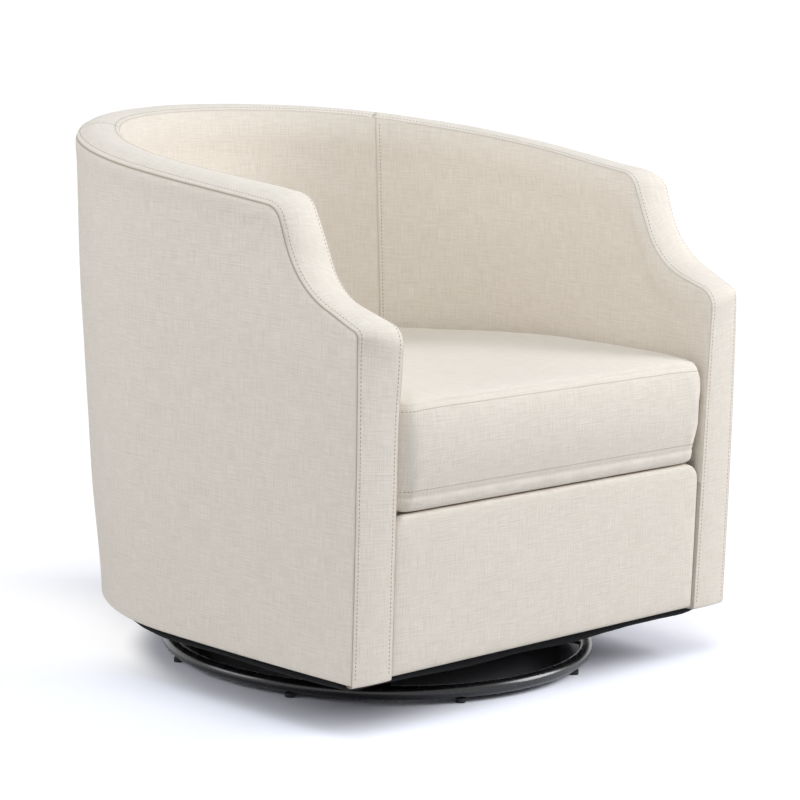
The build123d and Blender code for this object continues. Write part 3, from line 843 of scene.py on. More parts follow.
    def _roll_under(self, p: Array, cloth: Array, away: Array) -> tuple[Array, Array, Array]:
        """Rolls the foot of an outside cover under the chair.

        Args:
            p: Grid of points.
            cloth: Cloth coordinates of the grid.
            away: Unit vectors that lead from its face into the wall.

        Returns:
            All three, longer by the rolled rows.
        """
        hem = p[0] + away[0] * (FOLD_RADIUS + self.hem) - np.array([0, 0, FOLD_RADIUS])
        rows, cloths = [hem], [cloth[0] - [0, 24 * MM]]
        for k in range(self.roll_rows, 0, -1):
            turn = k * math.pi / 2 / self.roll_rows
            inward = away[0] * FOLD_RADIUS * (1 - math.cos(turn))
            rows.append(p[0] + (inward - np.array([0, 0, FOLD_RADIUS * math.sin(turn)])))
            cloths.append(cloth[0] - [0, k * MM])
        rolled = np.concatenate([np.array(rows), p])
        cloth = np.concatenate([np.array(cloths), cloth])
        return rolled, cloth, np.concatenate([np.repeat(away[:1], len(rows), 0), away])


# Cushion, front panel, deck ---------------------------------------------------------------


CUSHION_MIDDLE = np.array([0.0, -40.0, 0.0])


def shrunk(ring: Array, share: float, lift: float = 0.0) -> Array:
    """A ring drawn towards the cushion's middle, lifted a little as it goes."""
    out = ring.copy()
    out[:, :2] = CUSHION_MIDDLE[:2] + (ring[:, :2] - CUSHION_MIDDLE[:2]) * share
    out[:, 2] += lift * (1 - share)
    return out


def ring_form(name: str, rings: list[Array], cloth: list[str]) -> bpy.types.Object:
    """A closed form from rings of equal length, with a pole in the middle of each end ring.

    Args:
        name: Name of the object.
        rings: Closed outlines in order, each of shape (n, 3).
        cloth: For each gap between rings, the cloth's lay: "xy", "xz" or "wrap".

    Returns:
        The object, with its normals outwards.
    """
    n, count = len(rings[0]), len(rings)
    poles = (rings[0].mean(0), rings[-1].mean(0))
    points = np.concatenate([np.concatenate(rings), np.array(poles)])
    widest = max(rings, key=lambda r: np.ptp(r[:, 0]))
    around = running_length(np.vstack([widest, widest[:1]]))
    faces = [list(map(int, f)) for f in grid_faces(count, n, close=True)]
    corners = []
    for i in range(count - 1):
        for j in range(n):
            for row, column in ((i, j), (i, j + 1), (i + 1, j + 1), (i + 1, j)):
                x, y, z = rings[row][column % n]
                lays = {"xy": (x, y), "xz": (x, z), "wrap": (around[column], z)}
                corners.append(lays[cloth[i]])
    for row, pole in ((0, count * n), (count - 1, count * n + 1)):
        flat = cloth[0] if row == 0 else cloth[-1]
        lay = 2 if flat == "xz" else 1
        for j in range(n):
            face = [pole, row * n + (j + 1) % n, row * n + j]
            faces.append(face if row == 0 else face[::-1])
            for k in faces[-1]:
                corners.append((points[k][0], points[k][lay]))
    obj = mesh_object(name, points, faces)
    layer = obj.data.uv_layers.new(name="cloth")
    layer.data.foreach_set("uv", (np.array(corners, np.float32) * MM).ravel())
    face_outwards(obj)
    return obj


def face_outwards(obj: bpy.types.Object) -> None:
    """Turns the faces of a closed piece outwards."""
    pick(obj)
    bpy.ops.object.mode_set(mode="EDIT")
    bpy.ops.mesh.select_all(action="SELECT")
    bpy.ops.mesh.normals_make_consistent(inside=False)
    bpy.ops.object.mode_set(mode="OBJECT")


@dataclass
class SeatCushion:
    """The loose boxed cushion and its foam core."""

    low: float = 283.8
    gap: float = 10.5
    corner: float = 31.0
    reach: float = 6.0
    height: float = 137.0
    seam_low: float = 19.0
    seam_high: float = 131.0
    front_bulge: float = 4.0
    back_drop: float = 17.0
    front_rise: float = 4.0
    front_start: float = -260.0
    front_run: float = 110.0
    front_reach: float = 296.0
    lip_drop: float = 4.2
    lip_start: float = -350.0
    lip_run: float = 26.0
    lip_height: float = 40.0
    back_start: float = -150.0
    back_run: float = 330.0
    dip: float = 2.2
    dip_place: float = -20.0
    dip_reach: tuple[float, float] = (190.0, 210.0)
    seam_clear: float = 12.0
    ear: tuple[float, float] = (286.0, -372.0)
    ear_reach: float = 34.0
    ear_pull: float = 1.3
    ear_drop: float = 3.0
    around: int = 170
    centre_shares: tuple[float, ...] = (0.03, 0.1, 0.2, 0.32, 0.45, 0.58, 0.7, 0.8, 0.88, 0.95)
    stitch_gap: float = 7.0
    stitch_inset: float = 3.3
    zip_angle: float = 42.0

    def outline(self, rise: float, inset: float, corner: float | None = None) -> Array:
        """The cushion's closed outline at one height.

        Args:
            rise: Height above the underside.
            inset: How far it is drawn in from the widest outline.
            corner: Radius of the front corners, if not the usual one.

        Returns:
            Points of shape (n, 3), from the left corner round the back to the front edge.
        """
        z = self.low + rise
        radius = max(6.0, (corner or self.corner) - inset * 0.6)
        base = BARREL.wall + self.gap + inset
        front = BARREL.front - self.reach + inset
        start = float(BARREL.station(front + radius, z, base))
        wall = BARREL.point(graded(start, 2 - start, self.around, 0.2), z, base)
        left, right = wall[0], wall[-1]
        quarter = np.linspace(0, math.pi / 2, 14)[1:-1]
        turn_x = right[0] - radius + radius * np.cos(quarter)
        turn_y = front + radius - radius * np.sin(quarter)
        turn_right = np.stack([turn_x, turn_y], -1)
        edge_x = np.linspace(right[0] - radius, left[0] + radius, 72)
        edge = np.stack([edge_x, np.full(edge_x.shape, front)], -1)
        turn_left = turn_right[::-1] * [-1, 1]
        rest = np.vstack([turn_right, edge, turn_left])
        return np.vstack([wall, np.column_stack([rest, np.full(len(rest), z)])])

    def _levels(self) -> tuple[list[tuple[float, float]], list[str]]:
        """Rise and inset of each ring, and how the cloth lies between them."""
        s, h = self.seam_low, self.seam_high
        under = [(0.0, 60), (0.0, 34), (0.2, 22), (1.4, 13.5), (4, 8.4), (7.5, 6.0), (12, 4.8), (17, 4.3)]
        boxing = [(s, 5.2), (s + 1.7, 4.2), (s + 5, 3.7), (s + 9, 3.2), (s + 14, 2.6), (s + 22, 1.7)]
        boxing += [(s + 34, 0.7), (s + 56, 0.0), (h - 34, 0.2), (h - 22, 0.8), (h - 14, 1.7)]
        boxing += [(h - 9, 2.7), (h - 5, 3.9), (h - 1.7, 5.4)]
        top = [(h, 7.0), (h + 1.5, 7.2), (h + 3.0, 9.0), (h + 4.6, 12.6), (h + 5.9, 18), (h + 6.9, 27)]
        top += [(h + 7.7, 39), (h + 8.3, 55), (h + 8.7, 75)]
        levels = under + boxing + top
        cloth = ["xy"] * len(under) + ["wrap"] * len(boxing) + ["xy"] * (len(top) - 1)
        return levels, cloth

    def settle(self, p: Array) -> Array:
        """Lets the plain form settle: a fuller front, a lower back and an uneven top.

        Args:
            p: Points of shape (..., 3).

        Returns:
            The moved points.
        """
        rise = p[..., 2] - self.low
        share = np.clip(rise / self.height, 0, 1)
        mid = np.clip((rise - self.seam_low) / (self.seam_high - self.seam_low), 0, 1)
        forward = np.clip((self.front_start - p[..., 1]) / self.front_run, 0, 1)
        across = 1 - np.clip(np.abs(p[..., 0]) / self.front_reach, 0, 1) ** 6
        q = p.copy()
        q[..., 1] -= self.front_bulge * forward * across * np.sin(np.pi * mid) ** 1.2
        lip = smooth((self.lip_start - p[..., 1]) / self.lip_run)
        q[..., 2] -= self.lip_drop * (lip * np.clip(1 - rise / self.lip_height, 0, 1))
        q[..., 2] += self.front_rise * share * smooth(-p[..., 1] / 360)
        back = np.clip((p[..., 1] - self.back_start) / self.back_run, 0, 1)
        q[..., 2] -= self.back_drop * share * back * back * (3 - 2 * back)
        on_top = np.clip((rise - self.seam_high - 2) / 8, 0, 1)
        dip_x = p[..., 0] / self.dip_reach[0]
        dip_y = (p[..., 1] - self.dip_place) / self.dip_reach[1]
        dip = np.exp(-(dip_x**2 + dip_y**2))
        uneven = rumple(p * [1, 1, 0], (1.4, 150, 9.1), (0.5, 52, 4.4))
        q[..., 2] += on_top * (self.dip * dip + uneven)
        seam_gap = np.minimum(np.abs(rise - self.seam_high), np.abs(rise - self.seam_low))
        off_seam = np.clip(seam_gap / self.seam_clear, 0, 1)
        drape = rumple(p * [1, 1, 0.35], (0.9, 70, 6.6)) + rumple(p * [1, 1, 0.5], (0.35, 24, 2.8))
        q[..., 1] += forward * off_seam * drape * (1 - on_top)
        for hand in (-1, 1):
            ear_x = (p[..., 0] - hand * self.ear[0]) / self.ear_reach
            ear_y = (p[..., 1] - self.ear[1]) / self.ear_reach
            near = np.exp(-(ear_x**2 + ear_y**2))
            fan = np.sin((p[..., 0] * 0.7 * hand + p[..., 1] * 0.5 + p[..., 2] * 0.35) / 3.1)
            q[..., 2] += near * on_top * self.ear_pull * fan - near * share * self.ear_drop
            q[..., 1] -= near * (1 - on_top) * self.ear_pull * fan * off_seam
        return q

    def cover(self) -> bpy.types.Object:
        """The sewn cover with its two seams."""
        levels, cloth = self._levels()
        rings = [self.outline(rise, inset) for rise, inset in levels]
        inner_under = [shrunk(rings[0], share) for share in self.centre_shares]
        inner_top = [shrunk(rings[-1], share, 0.6) for share in self.centre_shares[::-1]]
        rings = [self.settle(ring) for ring in inner_under + rings + inner_top]
        flat = ["xy"] * len(self.centre_shares)
        return ring_form("seat_cushion_cover", rings, flat + cloth + flat)

    def core(self) -> bpy.types.Object:
        """The foam block inside the cover."""
        levels = [(4.5, 30), (5.5, 18), (12, 13), (60, 10), (112, 13), (124, 22), (127, 44)]
        rings = [self.settle(self.outline(rise, inset)) for rise, inset in levels]
        rings = [shrunk(rings[0], 0.3)] + rings + [shrunk(rings[-1], 0.4)]
        return ring_form("seat_cushion_foam", rings, ["xy"] * (len(rings) - 1))

    def stitch_lines(self) -> list[tuple[Array, Array]]:
        """The closed lines of topstitches beside both seams of the boxing, with their normals."""
        lines = []
        for rise in (self.seam_low + self.stitch_gap, self.seam_high - self.stitch_gap):
            ring = self.settle(self.outline(rise, self.stitch_inset))
            line = np.vstack([ring, ring[:1]])
            out = np.cross(np.gradient(line, axis=0), [0, 0, 1.0])
            out *= np.sign(np.sum(out * (line - line.mean(0)), 1, keepdims=True))
            lines.append((line, out / np.linalg.norm(out, axis=1, keepdims=True)))
        return lines

    def zip_strip(self) -> bpy.types.Object:
        """The zip along the back of the boxing, with its two tapes and its teeth."""
        rise = (self.seam_low + self.seam_high) / 2
        ring = self.outline(rise, 0)[: self.around]
        angle = np.degrees(np.arctan2(ring[:, 0], ring[:, 1] - BARREL.rim_centre))
        behind = np.abs(angle) < self.zip_angle
        half = [(-5.0, 0.2), (-4.6, 0.7), (-1.7, 0.8), (-1.4, 1.5)]
        profile = half + [(-up, out) for up, out in half[::-1]]
        rows = []
        for up, out in profile:
            row = self.outline(rise + up, -out)[: self.around][behind]
            rows.append(self.settle(row))
        run = np.repeat(running_length(rows[0])[None, :], len(rows), 0)
        up = np.repeat(np.array([u for u, _ in profile])[:, None], run.shape[1], 1)
        cloth = np.stack([run, up], -1) * MM
        faces = grid_faces(len(rows), run.shape[1])[:, ::-1]
        obj = mesh_object("cushion_zip_strip", np.array(rows), faces, cloth)
        thicken(obj, 0.6)
        return obj


@dataclass
class FrontPanel:
    """The padded panel between the arm fronts."""

    half_width: float = 294.6
    top: float = 279.0
    face: float = -385.0
    corner: float = 24.0
    foot_corner: float = 3.0
    back_inset: float = 14.0
    back_depth: float = 15.6
    centre_shares: tuple[float, ...] = (0.88, 0.72, 0.52, 0.3, 0.1)
    centre_swell: float = 1.2

    def build(self) -> bpy.types.Object:
        """The panel with rolled edges."""
        side = [(1.0, 15.5), (0.2, 10), (0.0, 6), (0.6, 3.2)]
        face = [(1.8, 1.4), (3.6, 0.4), (6.5, -0.2), (12, -0.7), (22, -1.1)]
        rings = [self._ring(inset, depth) for inset, depth in side + face]
        last = rings[-1]
        centre = last.mean(0)
        for share in self.centre_shares:
            ring = centre + (last - centre) * share
            ring[:, 1] = last[:, 1] - self.centre_swell * (1 - share)
            rings.append(ring)
        for ring in rings[len(side) :]:
            ring[:, 1] += rumple(ring, (0.5, 110, 7.7), (0.2, 34, 1.9))
        rings = [self._ring(self.back_inset, self.back_depth)] + rings
        return ring_form("front_panel_cover", rings, ["xz"] * (len(rings) - 1))

    def _ring(self, inset: float, depth: float) -> Array:
        """The panel's rounded outline, drawn in by inset and set back by depth."""
        half, top, low = self.half_width - inset, self.top - inset, BARREL.skirt + inset
        r, foot = max(3.0, self.corner - inset), max(1.0, self.foot_corner - inset)
        corners = [((half - r, top - r), r, 0), ((-half + r, top - r), r, 90)]
        corners += [((-half + foot, low + foot), foot, 180), ((half - foot, low + foot), foot, 270)]
        marks = []
        for (cx, cz), radius, start in corners:
            turn = np.radians(np.linspace(start, start + 90, 9))
            marks.append(np.stack([cx + radius * np.cos(turn), cz + radius * np.sin(turn)], -1))
        line = []
        for k, mark in enumerate(marks):
            after = marks[(k + 1) % 4][0]
            count = 62 if k % 2 == 0 else 24
            line.append(np.vstack([mark, np.linspace(mark[-1], after, count)[1:-1]]))
        flat = np.vstack(line)
        return np.stack([flat[:, 0], np.full(len(flat), self.face + depth), flat[:, 1]], -1)


@dataclass
class Deck:
    """The platform under the cushion."""

    top: float = 283.3
    thickness: float = 36.0
    front: float = -366.0
    corner: float = 12.0

    def build(self) -> bpy.types.Object:
        """The padded platform, softly rounded at its edges."""
        form = SeatCushion(low=self.top - self.thickness, corner=self.corner, reach=0.0)
        levels = [(0.4, 12), (4, 4), (12, 0.6), (24, 0.6), (31, 2.5), (34.6, 8), (35.8, 18), (36, 40)]
        rings = []
        for rise, inset in levels:
            ring = form.outline(rise, inset)
            ring[:, 1] = np.maximum(ring[:, 1], self.front + inset)
            rings.append(ring)
        top = rings[-1]
        rings = [shrunk(rings[0], 0.4)] + rings + [shrunk(top, 0.7), shrunk(top, 0.3)]
        return ring_form("deck_platform", rings, ["xy"] * (len(rings) - 1))


# Underside and base -----------------------------------------------------------------------

SWIVEL_Y = -64.5


@dataclass
class DustCover:
    """The black cloth under the chair: fixed round its edge and under the swivel, slack between."""

    edge: float = 15.0
    front_edge: float = 20.8
    sag: float = 28.0
    sag_place: float = 0.58
    sag_fullness: float = 0.78
    fixed_height: float = 75.9
    hub_radius: float = 150.0
    thickness: float = 0.8
    columns: int = 180

    def build(self) -> bpy.types.Object:
        """The sagging cloth."""
        turn = np.linspace(0, 2 * math.pi, self.columns, endpoint=False)
        rim = self._edge_line(turn)
        axis = np.array([0, SWIVEL_Y])
        hub = axis + self.hub_radius * np.stack([np.cos(turn), np.sin(turn)], -1)
        rows = []
        for share in graded(0, 1, 34, 0.2):
            flat = rim + (hub - rim) * share
            drop = self.sag * max(0.0, math.sin(math.pi * share**self.sag_place)) ** self.sag_fullness
            drop = drop * (1 + 0.06 * np.sin(turn * 9 + 4 * share))
            ripple = 0.5 * np.sin(turn * 44 + 3 * np.sin(turn * 5)) * math.exp(-((share / 0.09) ** 2))
            rows.append(np.column_stack([flat, self.fixed_height - drop - ripple * min(1, share * 30)]))
        for share in (0.7, 0.4, 0.1):
            flat = axis + (hub - axis) * share
            rows.append(np.column_stack([flat, np.full(self.columns, self.fixed_height)]))
        pole = len(rows) * self.columns
        last = (len(rows) - 1) * self.columns
        faces = [list(f) for f in grid_faces(len(rows), self.columns, close=True)]
        faces += [[last + j, last + (j + 1) % self.columns, pole] for j in range(self.columns)]
        points = np.vstack(rows + [[0, SWIVEL_Y, self.fixed_height]])
        obj = mesh_object("sagging_dust_cover", points, faces, points[:, :2] * MM)
        face_outwards(obj)
        if obj.data.polygons[0].normal.z > 0:
            obj.data.flip_normals()
        thicken(obj, self.thickness)
        return obj

    def _edge_line(self, turn: Array) -> Array:
        """Where rays from the swivel's axis meet the cloth's edge."""
        t = np.linspace(0, 2, 900)
        wall = BARREL.point(t, BARREL.skirt, self.edge)[:, :2]
        wall[:, 1] = np.maximum(wall[:, 1], BARREL.front + self.front_edge)
        x = np.linspace(wall[-1, 0], wall[0, 0], 300)[1:-1]
        front = np.stack([x, np.full(x.shape, BARREL.front + self.front_edge)], -1)
        line = np.vstack([wall, front])
        angle = np.arctan2(line[:, 1] - SWIVEL_Y, line[:, 0]) % (2 * math.pi)
        order = np.argsort(angle)
        reach = np.hypot(line[:, 0], line[:, 1] - SWIVEL_Y)
        radius = np.interp(turn, angle[order], reach[order], period=2 * math.pi)
        return np.stack([radius * np.cos(turn), SWIVEL_Y + radius * np.sin(turn)], -1)


@dataclass
class BaseRing:
    """The round tube that the chair stands on."""

    radius: float = 290.5
    tube: float = 9.5
    height: float = 15.5
    weld_rise: float = 0.35
    weld_width: float = 2.2

    def build(self) -> bpy.types.Object:
        """The tube, with a low weld where its two ends meet at the back."""
        deselect()
        bpy.ops.mesh.primitive_torus_add(
            location=(0, SWIVEL_Y * MM, self.height * MM),
            major_radius=self.radius * MM,
            minor_radius=self.tube * MM,
            major_segments=240,
            minor_segments=36,
        )
        ring = bpy.context.object
        ring.name = ring.data.name = "tube_ring"
        bpy.ops.object.transform_apply(location=True, rotation=True, scale=True)
        for vertex in ring.data.vertices:
            angle = math.atan2(vertex.co.x, vertex.co.y - SWIVEL_Y * MM)
            bead = self.weld_rise * math.exp(-((angle * self.radius / self.weld_width) ** 2))
            middle = Vector((math.sin(angle), math.cos(angle), 0)) * self.radius * MM
            middle += Vector((0, SWIVEL_Y * MM, self.height * MM))
            vertex.co += (vertex.co - middle).normalized() * bead * MM
        bpy.ops.object.shade_smooth()
        return ring


# Stitches ---------------------------------------------------------------------------------


def along_line(place: float, run: Array, values: Array) -> Array:
    """The value at one place along a line, between the values at its points."""
    return np.array([np.interp(place, run, values[:, k]) for k in range(values.shape[1])])


@dataclass
class Stitches:
    """A row of topstitches along a line."""

    length: float = 3.5
    pitch: float = 5.2
    thickness: float = 0.62

    def sew(self, name: str, lines: list[tuple[Array, Array]]) -> bpy.types.Object:
        """Lays stitches along lines.

        Args:
            name: Name of the object.
            lines: Pairs of points and outward normals, each of shape (n, 3).

        Returns:
            One object with every stitch.
        """
        ring = [(math.cos(a), math.sin(a)) for a in np.radians([90, 162, 234, 306, 378])]
        ends = ((-0.5, 0.25, -0.55), (-0.34, 0.9, 0.0), (0.34, 0.9, 0.0), (0.5, 0.25, -0.55))
        points, faces = [], []
        for line, normals in lines:
            run = running_length(line)
            count = int(run[-1] / self.pitch)
            middles = (np.arange(count) + 0.5) * run[-1] / max(count, 1)
            for s in middles:
                at, n = along_line(s, run, line), along_line(s, run, normals)
                ahead, behind = along_line(s + 0.8, run, line), along_line(s - 0.8, run, line)
                a = (ahead - behind) / np.linalg.norm(ahead - behind)
                n = n - a * (n @ a)
                n = n / np.linalg.norm(n)
                b = np.cross(n, a)
                first = len(points)
                for along, size, sink in ends:
                    for cx, cy in ring:
                        r = self.thickness * size
                        up = cy * r * 0.8 + sink * self.thickness
                        points.append(at + a * along * self.length + b * cx * r + n * up)
                for k in range(3):
                    for m in range(5):
                        i, j = first + k * 5 + m, first + k * 5 + (m + 1) % 5
                        faces.append([i, j, j + 5, i + 5])
                faces.append([first + m for m in (4, 3, 2, 1, 0)])
                faces.append([first + 15 + m for m in range(5)])
        obj = mesh_object(name, np.array(points), faces)
        face_outwards(obj)
        return obj


# Finishes ---------------------------------------------------------------------------------

Colour = tuple[float, float, float]
Socket = bpy.types.NodeSocket


def toned(colour: Colour, factor: float, lift: float = 0.0) -> Colour:
    """A colour made darker or lighter."""
    return tuple(min(1.0, c * factor + lift) for c in colour)


class NodeBench:
    """A material and short ways to add and join its nodes."""

    def __init__(self, name: str) -> None:
        self.material = bpy.data.materials.new(name)
        self.material.use_nodes = True
        self.tree = self.material.node_tree
        self.shader = self.tree.nodes["Principled BSDF"]

    def node(
        self, kind: str, inputs: dict[str | int, object] | None = None, **values: object
    ) -> bpy.types.Node:
        """Adds a node.

        Args:
            kind: The node's type without its ShaderNode prefix.
            inputs: Values or output sockets for its inputs.
            **values: Properties of the node.

        Returns:
            The new node.
        """
        made = self.tree.nodes.new("ShaderNode" + kind)
        for key, value in values.items():
            setattr(made, key, value)
        for key, value in (inputs or {}).items():
            if isinstance(value, Socket):
                self.tree.links.new(value, made.inputs[key])
            else:
                made.inputs[key].default_value = value
        return made

    def math(self, operation: str, a: object, b: object = 0.0, c: object = 0.0) -> Socket:
        """The output of a math node."""
        return self.node("Math", {0: a, 1: b, 2: c}, operation=operation).outputs[0]

    def noise(self, vector: Socket, scale: tuple[float, float, float], detail: float = 2.0) -> Socket:
        """Noise over scaled coordinates."""
        scaled = self.node("Mapping", {"Vector": vector, "Scale": scale}).outputs[0]
        inputs = {"Vector": scaled, "Scale": 1.0, "Detail": detail, "Roughness": 0.55}
        return self.node("TexNoise", inputs).outputs["Fac"]

    def mix(self, factor: object, a: object, b: object) -> Socket:
        """The output of a colour mix."""
        made = self.node("Mix", data_type="RGBA")
        for index, value in ((0, factor), (6, a), (7, b)):
            if isinstance(value, Socket):
                self.tree.links.new(value, made.inputs[index])
            else:
                made.inputs[index].default_value = (*value, 1.0) if isinstance(value, tuple) else value
        return made.outputs[2]

    def ramp(self, factor: Socket, low: float, high: float) -> Socket:
        """Spreads the values from low to high over 0 to 1."""
        made = self.node("MapRange", {0: factor, 1: low, 2: high, 3: 0.0, 4: 1.0}, clamp=True)
        return made.outputs[0]

    def bump(self, height: Socket, distance: float) -> None:
        """Feeds a height into the shader's normal."""
        made = self.node("Bump", {"Height": height, "Distance": distance, "Strength": 1.0})
        self.tree.links.new(made.outputs[0], self.shader.inputs["Normal"])

    def colour(self, value: Socket) -> None:
        """Feeds the shader's base colour."""
        self.tree.links.new(value, self.shader.inputs["Base Color"])

    def set(self, **values: float) -> None:
        """Sets constant sockets of the shader, with spaces written as underscores."""
        for key, value in values.items():
            self.shader.inputs[key.replace("_", " ")].default_value = value


@dataclass(frozen=True)
class Cloth:
    """Woven cloth with slubs along both threads. It follows the piece's own cloth coordinates, and its
    colour darkens along the seams as painted shade.
    """

    name: str
    light: Colour
    dark: Colour
    thread: float = 0.0009
    slub: float = 0.9
    relief: float = 0.00028
    sheen: float = 0.25
    # how dark and how strong the painted shade along the seams is
    seam_tone: Colour = (0.40, 0.34, 0.275)
    seam_depth: float = 0.85
    yarn_run: float = 34.0
    yarn_width: float = 0.62
    slub_run: float = 16.0
    slub_width: float = 0.42

    def make(self) -> bpy.types.Material:
        """The material."""
        bench = NodeBench(self.name)
        cloth = bench.node("UVMap", uv_map="cloth").outputs[0]
        place = bench.node("TexCoord").outputs["Object"]
        fine = 1.0 / self.thread
        yarn, slub = fine * self.yarn_width, fine * self.slub_width
        weft = bench.noise(cloth, (self.yarn_run, yarn, 1.0))
        warp = bench.noise(cloth, (yarn, self.yarn_run, 1.0))
        long_weft = bench.ramp(bench.noise(cloth, (self.slub_run, slub, 3.0), 1.0), 0.56, 0.72)
        long_warp = bench.ramp(bench.noise(cloth, (slub, self.slub_run, 5.0), 1.0), 0.58, 0.74)
        split = bench.node("SeparateXYZ", {0: cloth})
        turn = 2 * math.pi * fine
        over = bench.math("SINE", bench.math("MULTIPLY", split.outputs[0], turn))
        under = bench.math("SINE", bench.math("MULTIPLY", split.outputs[1], turn))
        weave = bench.math("MULTIPLY", over, under)
        threads = bench.math("ADD", weft, warp)
        slubs = bench.math("MULTIPLY", bench.math("ADD", long_weft, long_warp), self.slub)
        tone = bench.ramp(threads, 0.78, 1.22)
        shade = bench.mix(tone, self.dark, self.light)
        shade = bench.mix(bench.math("MULTIPLY", slubs, 0.22), shade, toned(self.dark, 0.9))
        patch = bench.ramp(bench.noise(place, (5.0, 5.0, 5.0)), 0.3, 0.7)
        shade = bench.mix(bench.math("MULTIPLY", patch, 0.06), shade, toned(self.dark, 0.8))
        # painted shade: the colour darkens along the seams by the seam attribute
        seam = bench.node("Attribute", attribute_name="seam").outputs["Fac"]
        seam_tone = tuple(a * c for a, c in zip(self.seam_tone, self.dark))
        shade = bench.mix(bench.math("MULTIPLY", seam, self.seam_depth), shade, seam_tone)
        bench.colour(shade)
        height = bench.math("ADD", bench.math("MULTIPLY", weave, 0.16), threads)
        height = bench.math("ADD", height, bench.math("MULTIPLY", slubs, 0.5))
        bench.bump(height, self.relief)
        bench.set(Roughness=0.92, Specular_IOR_Level=0.18)
        bench.set(Sheen_Weight=self.sheen, Sheen_Roughness=0.55)
        return bench.material


@dataclass(frozen=True)
class NonWoven:
    """Thin pressed cloth with short fibres and a fine emboss."""

    name: str
    tone: Colour

    def make(self) -> bpy.types.Material:
        """The material."""
        bench = NodeBench(self.name)
        place = bench.node("TexCoord").outputs["Object"]
        fibre = bench.noise(place, (700.0, 120.0, 300.0), 3.0)
        dots = bench.node("TexVoronoi", {"Vector": place, "Scale": 420.0}).outputs["Distance"]
        light = toned(self.tone, 2.2, 0.004)
        bench.colour(bench.mix(bench.ramp(fibre, 0.4, 0.75), self.tone, light))
        bench.bump(bench.math("ADD", fibre, dots), 0.0002)
        bench.set(Roughness=0.9, Specular_IOR_Level=0.08, Sheen_Weight=0.04)
        return bench.material


@dataclass(frozen=True)
class Metal:
    """Coated or bare metal with small changes in its gloss."""

    name: str
    tone: Colour
    metallic: float
    roughness: float
    coat: float = 0.0
    streak: tuple[float, float, float] = (60.0, 60.0, 60.0)
    relief: float = 0.00003
    specular: float = 0.5

    def make(self) -> bpy.types.Material:
        """The material."""
        bench = NodeBench(self.name)
        place = bench.node("TexCoord").outputs["Object"]
        cloud = bench.noise(place, self.streak, 4.0)
        peel = bench.noise(place, (900.0, 900.0, 900.0), 1.0)
        worn = toned(self.tone, 1.35, 0.006)
        bench.colour(bench.mix(bench.ramp(cloud, 0.35, 0.8), self.tone, worn))
        gloss = bench.node("MapRange", {0: cloud, 3: self.roughness * 0.75, 4: self.roughness * 1.3})
        bench.tree.links.new(gloss.outputs[0], bench.shader.inputs["Roughness"])
        bench.bump(bench.math("ADD", peel, cloud), self.relief)
        bench.set(Metallic=self.metallic, Specular_IOR_Level=self.specular)
        bench.set(Coat_Weight=self.coat, Coat_Roughness=0.12)
        return bench.material


@dataclass(frozen=True)
class Timber:
    """Raw timber or plywood, with grain along one axis."""

    name: str
    light: Colour
    dark: Colour
    grain: tuple[float, float, float]

    def make(self) -> bpy.types.Material:
        """The material."""
        bench = NodeBench(self.name)
        place = bench.node("TexCoord").outputs["Object"]
        bent = bench.noise(place, tuple(g * 0.25 for g in self.grain))
        rings = bench.noise(place, self.grain, 5.0)
        figure = bench.math("FRACT", bench.math("MULTIPLY_ADD", bent, 9.0, rings))
        pores = bench.noise(place, tuple(g * 6 for g in self.grain))
        shade = bench.mix(bench.math("SMOOTH_MAX", figure, 0.2, 0.3), self.light, self.dark)
        pore_share = bench.math("MULTIPLY", bench.ramp(pores, 0.5, 0.75), 0.4)
        bench.colour(bench.mix(pore_share, shade, toned(self.dark, 0.6)))
        bench.bump(bench.math("ADD", rings, pores), 0.0003)
        bench.set(Roughness=0.7, Specular_IOR_Level=0.3)
        return bench.material


@dataclass(frozen=True)
class Moulded:
    """Moulded plastic, foam or sewing thread, with a fine grain."""

    name: str
    tone: Colour
    roughness: float = 0.5
    cell: float = 1200.0
    relief: float = 0.00006

    def make(self) -> bpy.types.Material:
        """The material."""
        bench = NodeBench(self.name)
        place = bench.node("TexCoord").outputs["Object"]
        cells = bench.node("TexVoronoi", {"Vector": place, "Scale": self.cell}).outputs["Distance"]
        cloud = bench.noise(place, (25.0, 25.0, 25.0), 3.0)
        bench.colour(bench.mix(bench.ramp(cloud, 0.3, 0.8), self.tone, toned(self.tone, 0.82)))
        bench.bump(cells, self.relief)
        bench.set(Roughness=self.roughness, Specular_IOR_Level=0.4)
        return bench.material


LINEN = Cloth("ivory_linen", (0.885, 0.815, 0.725), (0.785, 0.712, 0.618))
THREAD = Moulded("tan_thread", (0.50, 0.42, 0.34), 0.8, cell=3000.0, relief=0.00003)
DECK_CLOTH = Cloth("platform_cloth", (0.72, 0.66, 0.57), (0.62, 0.56, 0.48), thread=0.0016, slub=0.2)
ZIP_TAPE = Cloth("zip_tape", (0.70, 0.64, 0.55), (0.56, 0.50, 0.42), thread=0.0006, slub=0.1)
DUST_CLOTH = NonWoven("black_non_woven", (0.005, 0.005, 0.0055))
BLACK_STEEL = Metal("gloss_black_coat", (0.006, 0.006, 0.007), 0.0, 0.26, coat=0.4, specular=0.4)
ZINC = Metal("zinc_plate", (0.55, 0.56, 0.55), 1.0, 0.34, streak=(200.0, 200.0, 40.0))
SPRING_STEEL = Metal("spring_wire", (0.16, 0.16, 0.17), 1.0, 0.42, streak=(300.0, 300.0, 300.0))
PLYWOOD = Timber("birch_plywood", (0.66, 0.50, 0.32), (0.52, 0.36, 0.20), (6.0, 60.0, 220.0))
SOFTWOOD = Timber("raw_pine", (0.70, 0.53, 0.32), (0.55, 0.36, 0.18), (60.0, 60.0, 5.0))
GLIDE_PLASTIC = Moulded("black_glide", (0.014, 0.014, 0.015), 0.45)
NYLON = Moulded("natural_nylon", (0.72, 0.70, 0.64), 0.4)
FOAM = Moulded("seat_foam", (0.80, 0.76, 0.55), 0.95, cell=600.0, relief=0.0006)

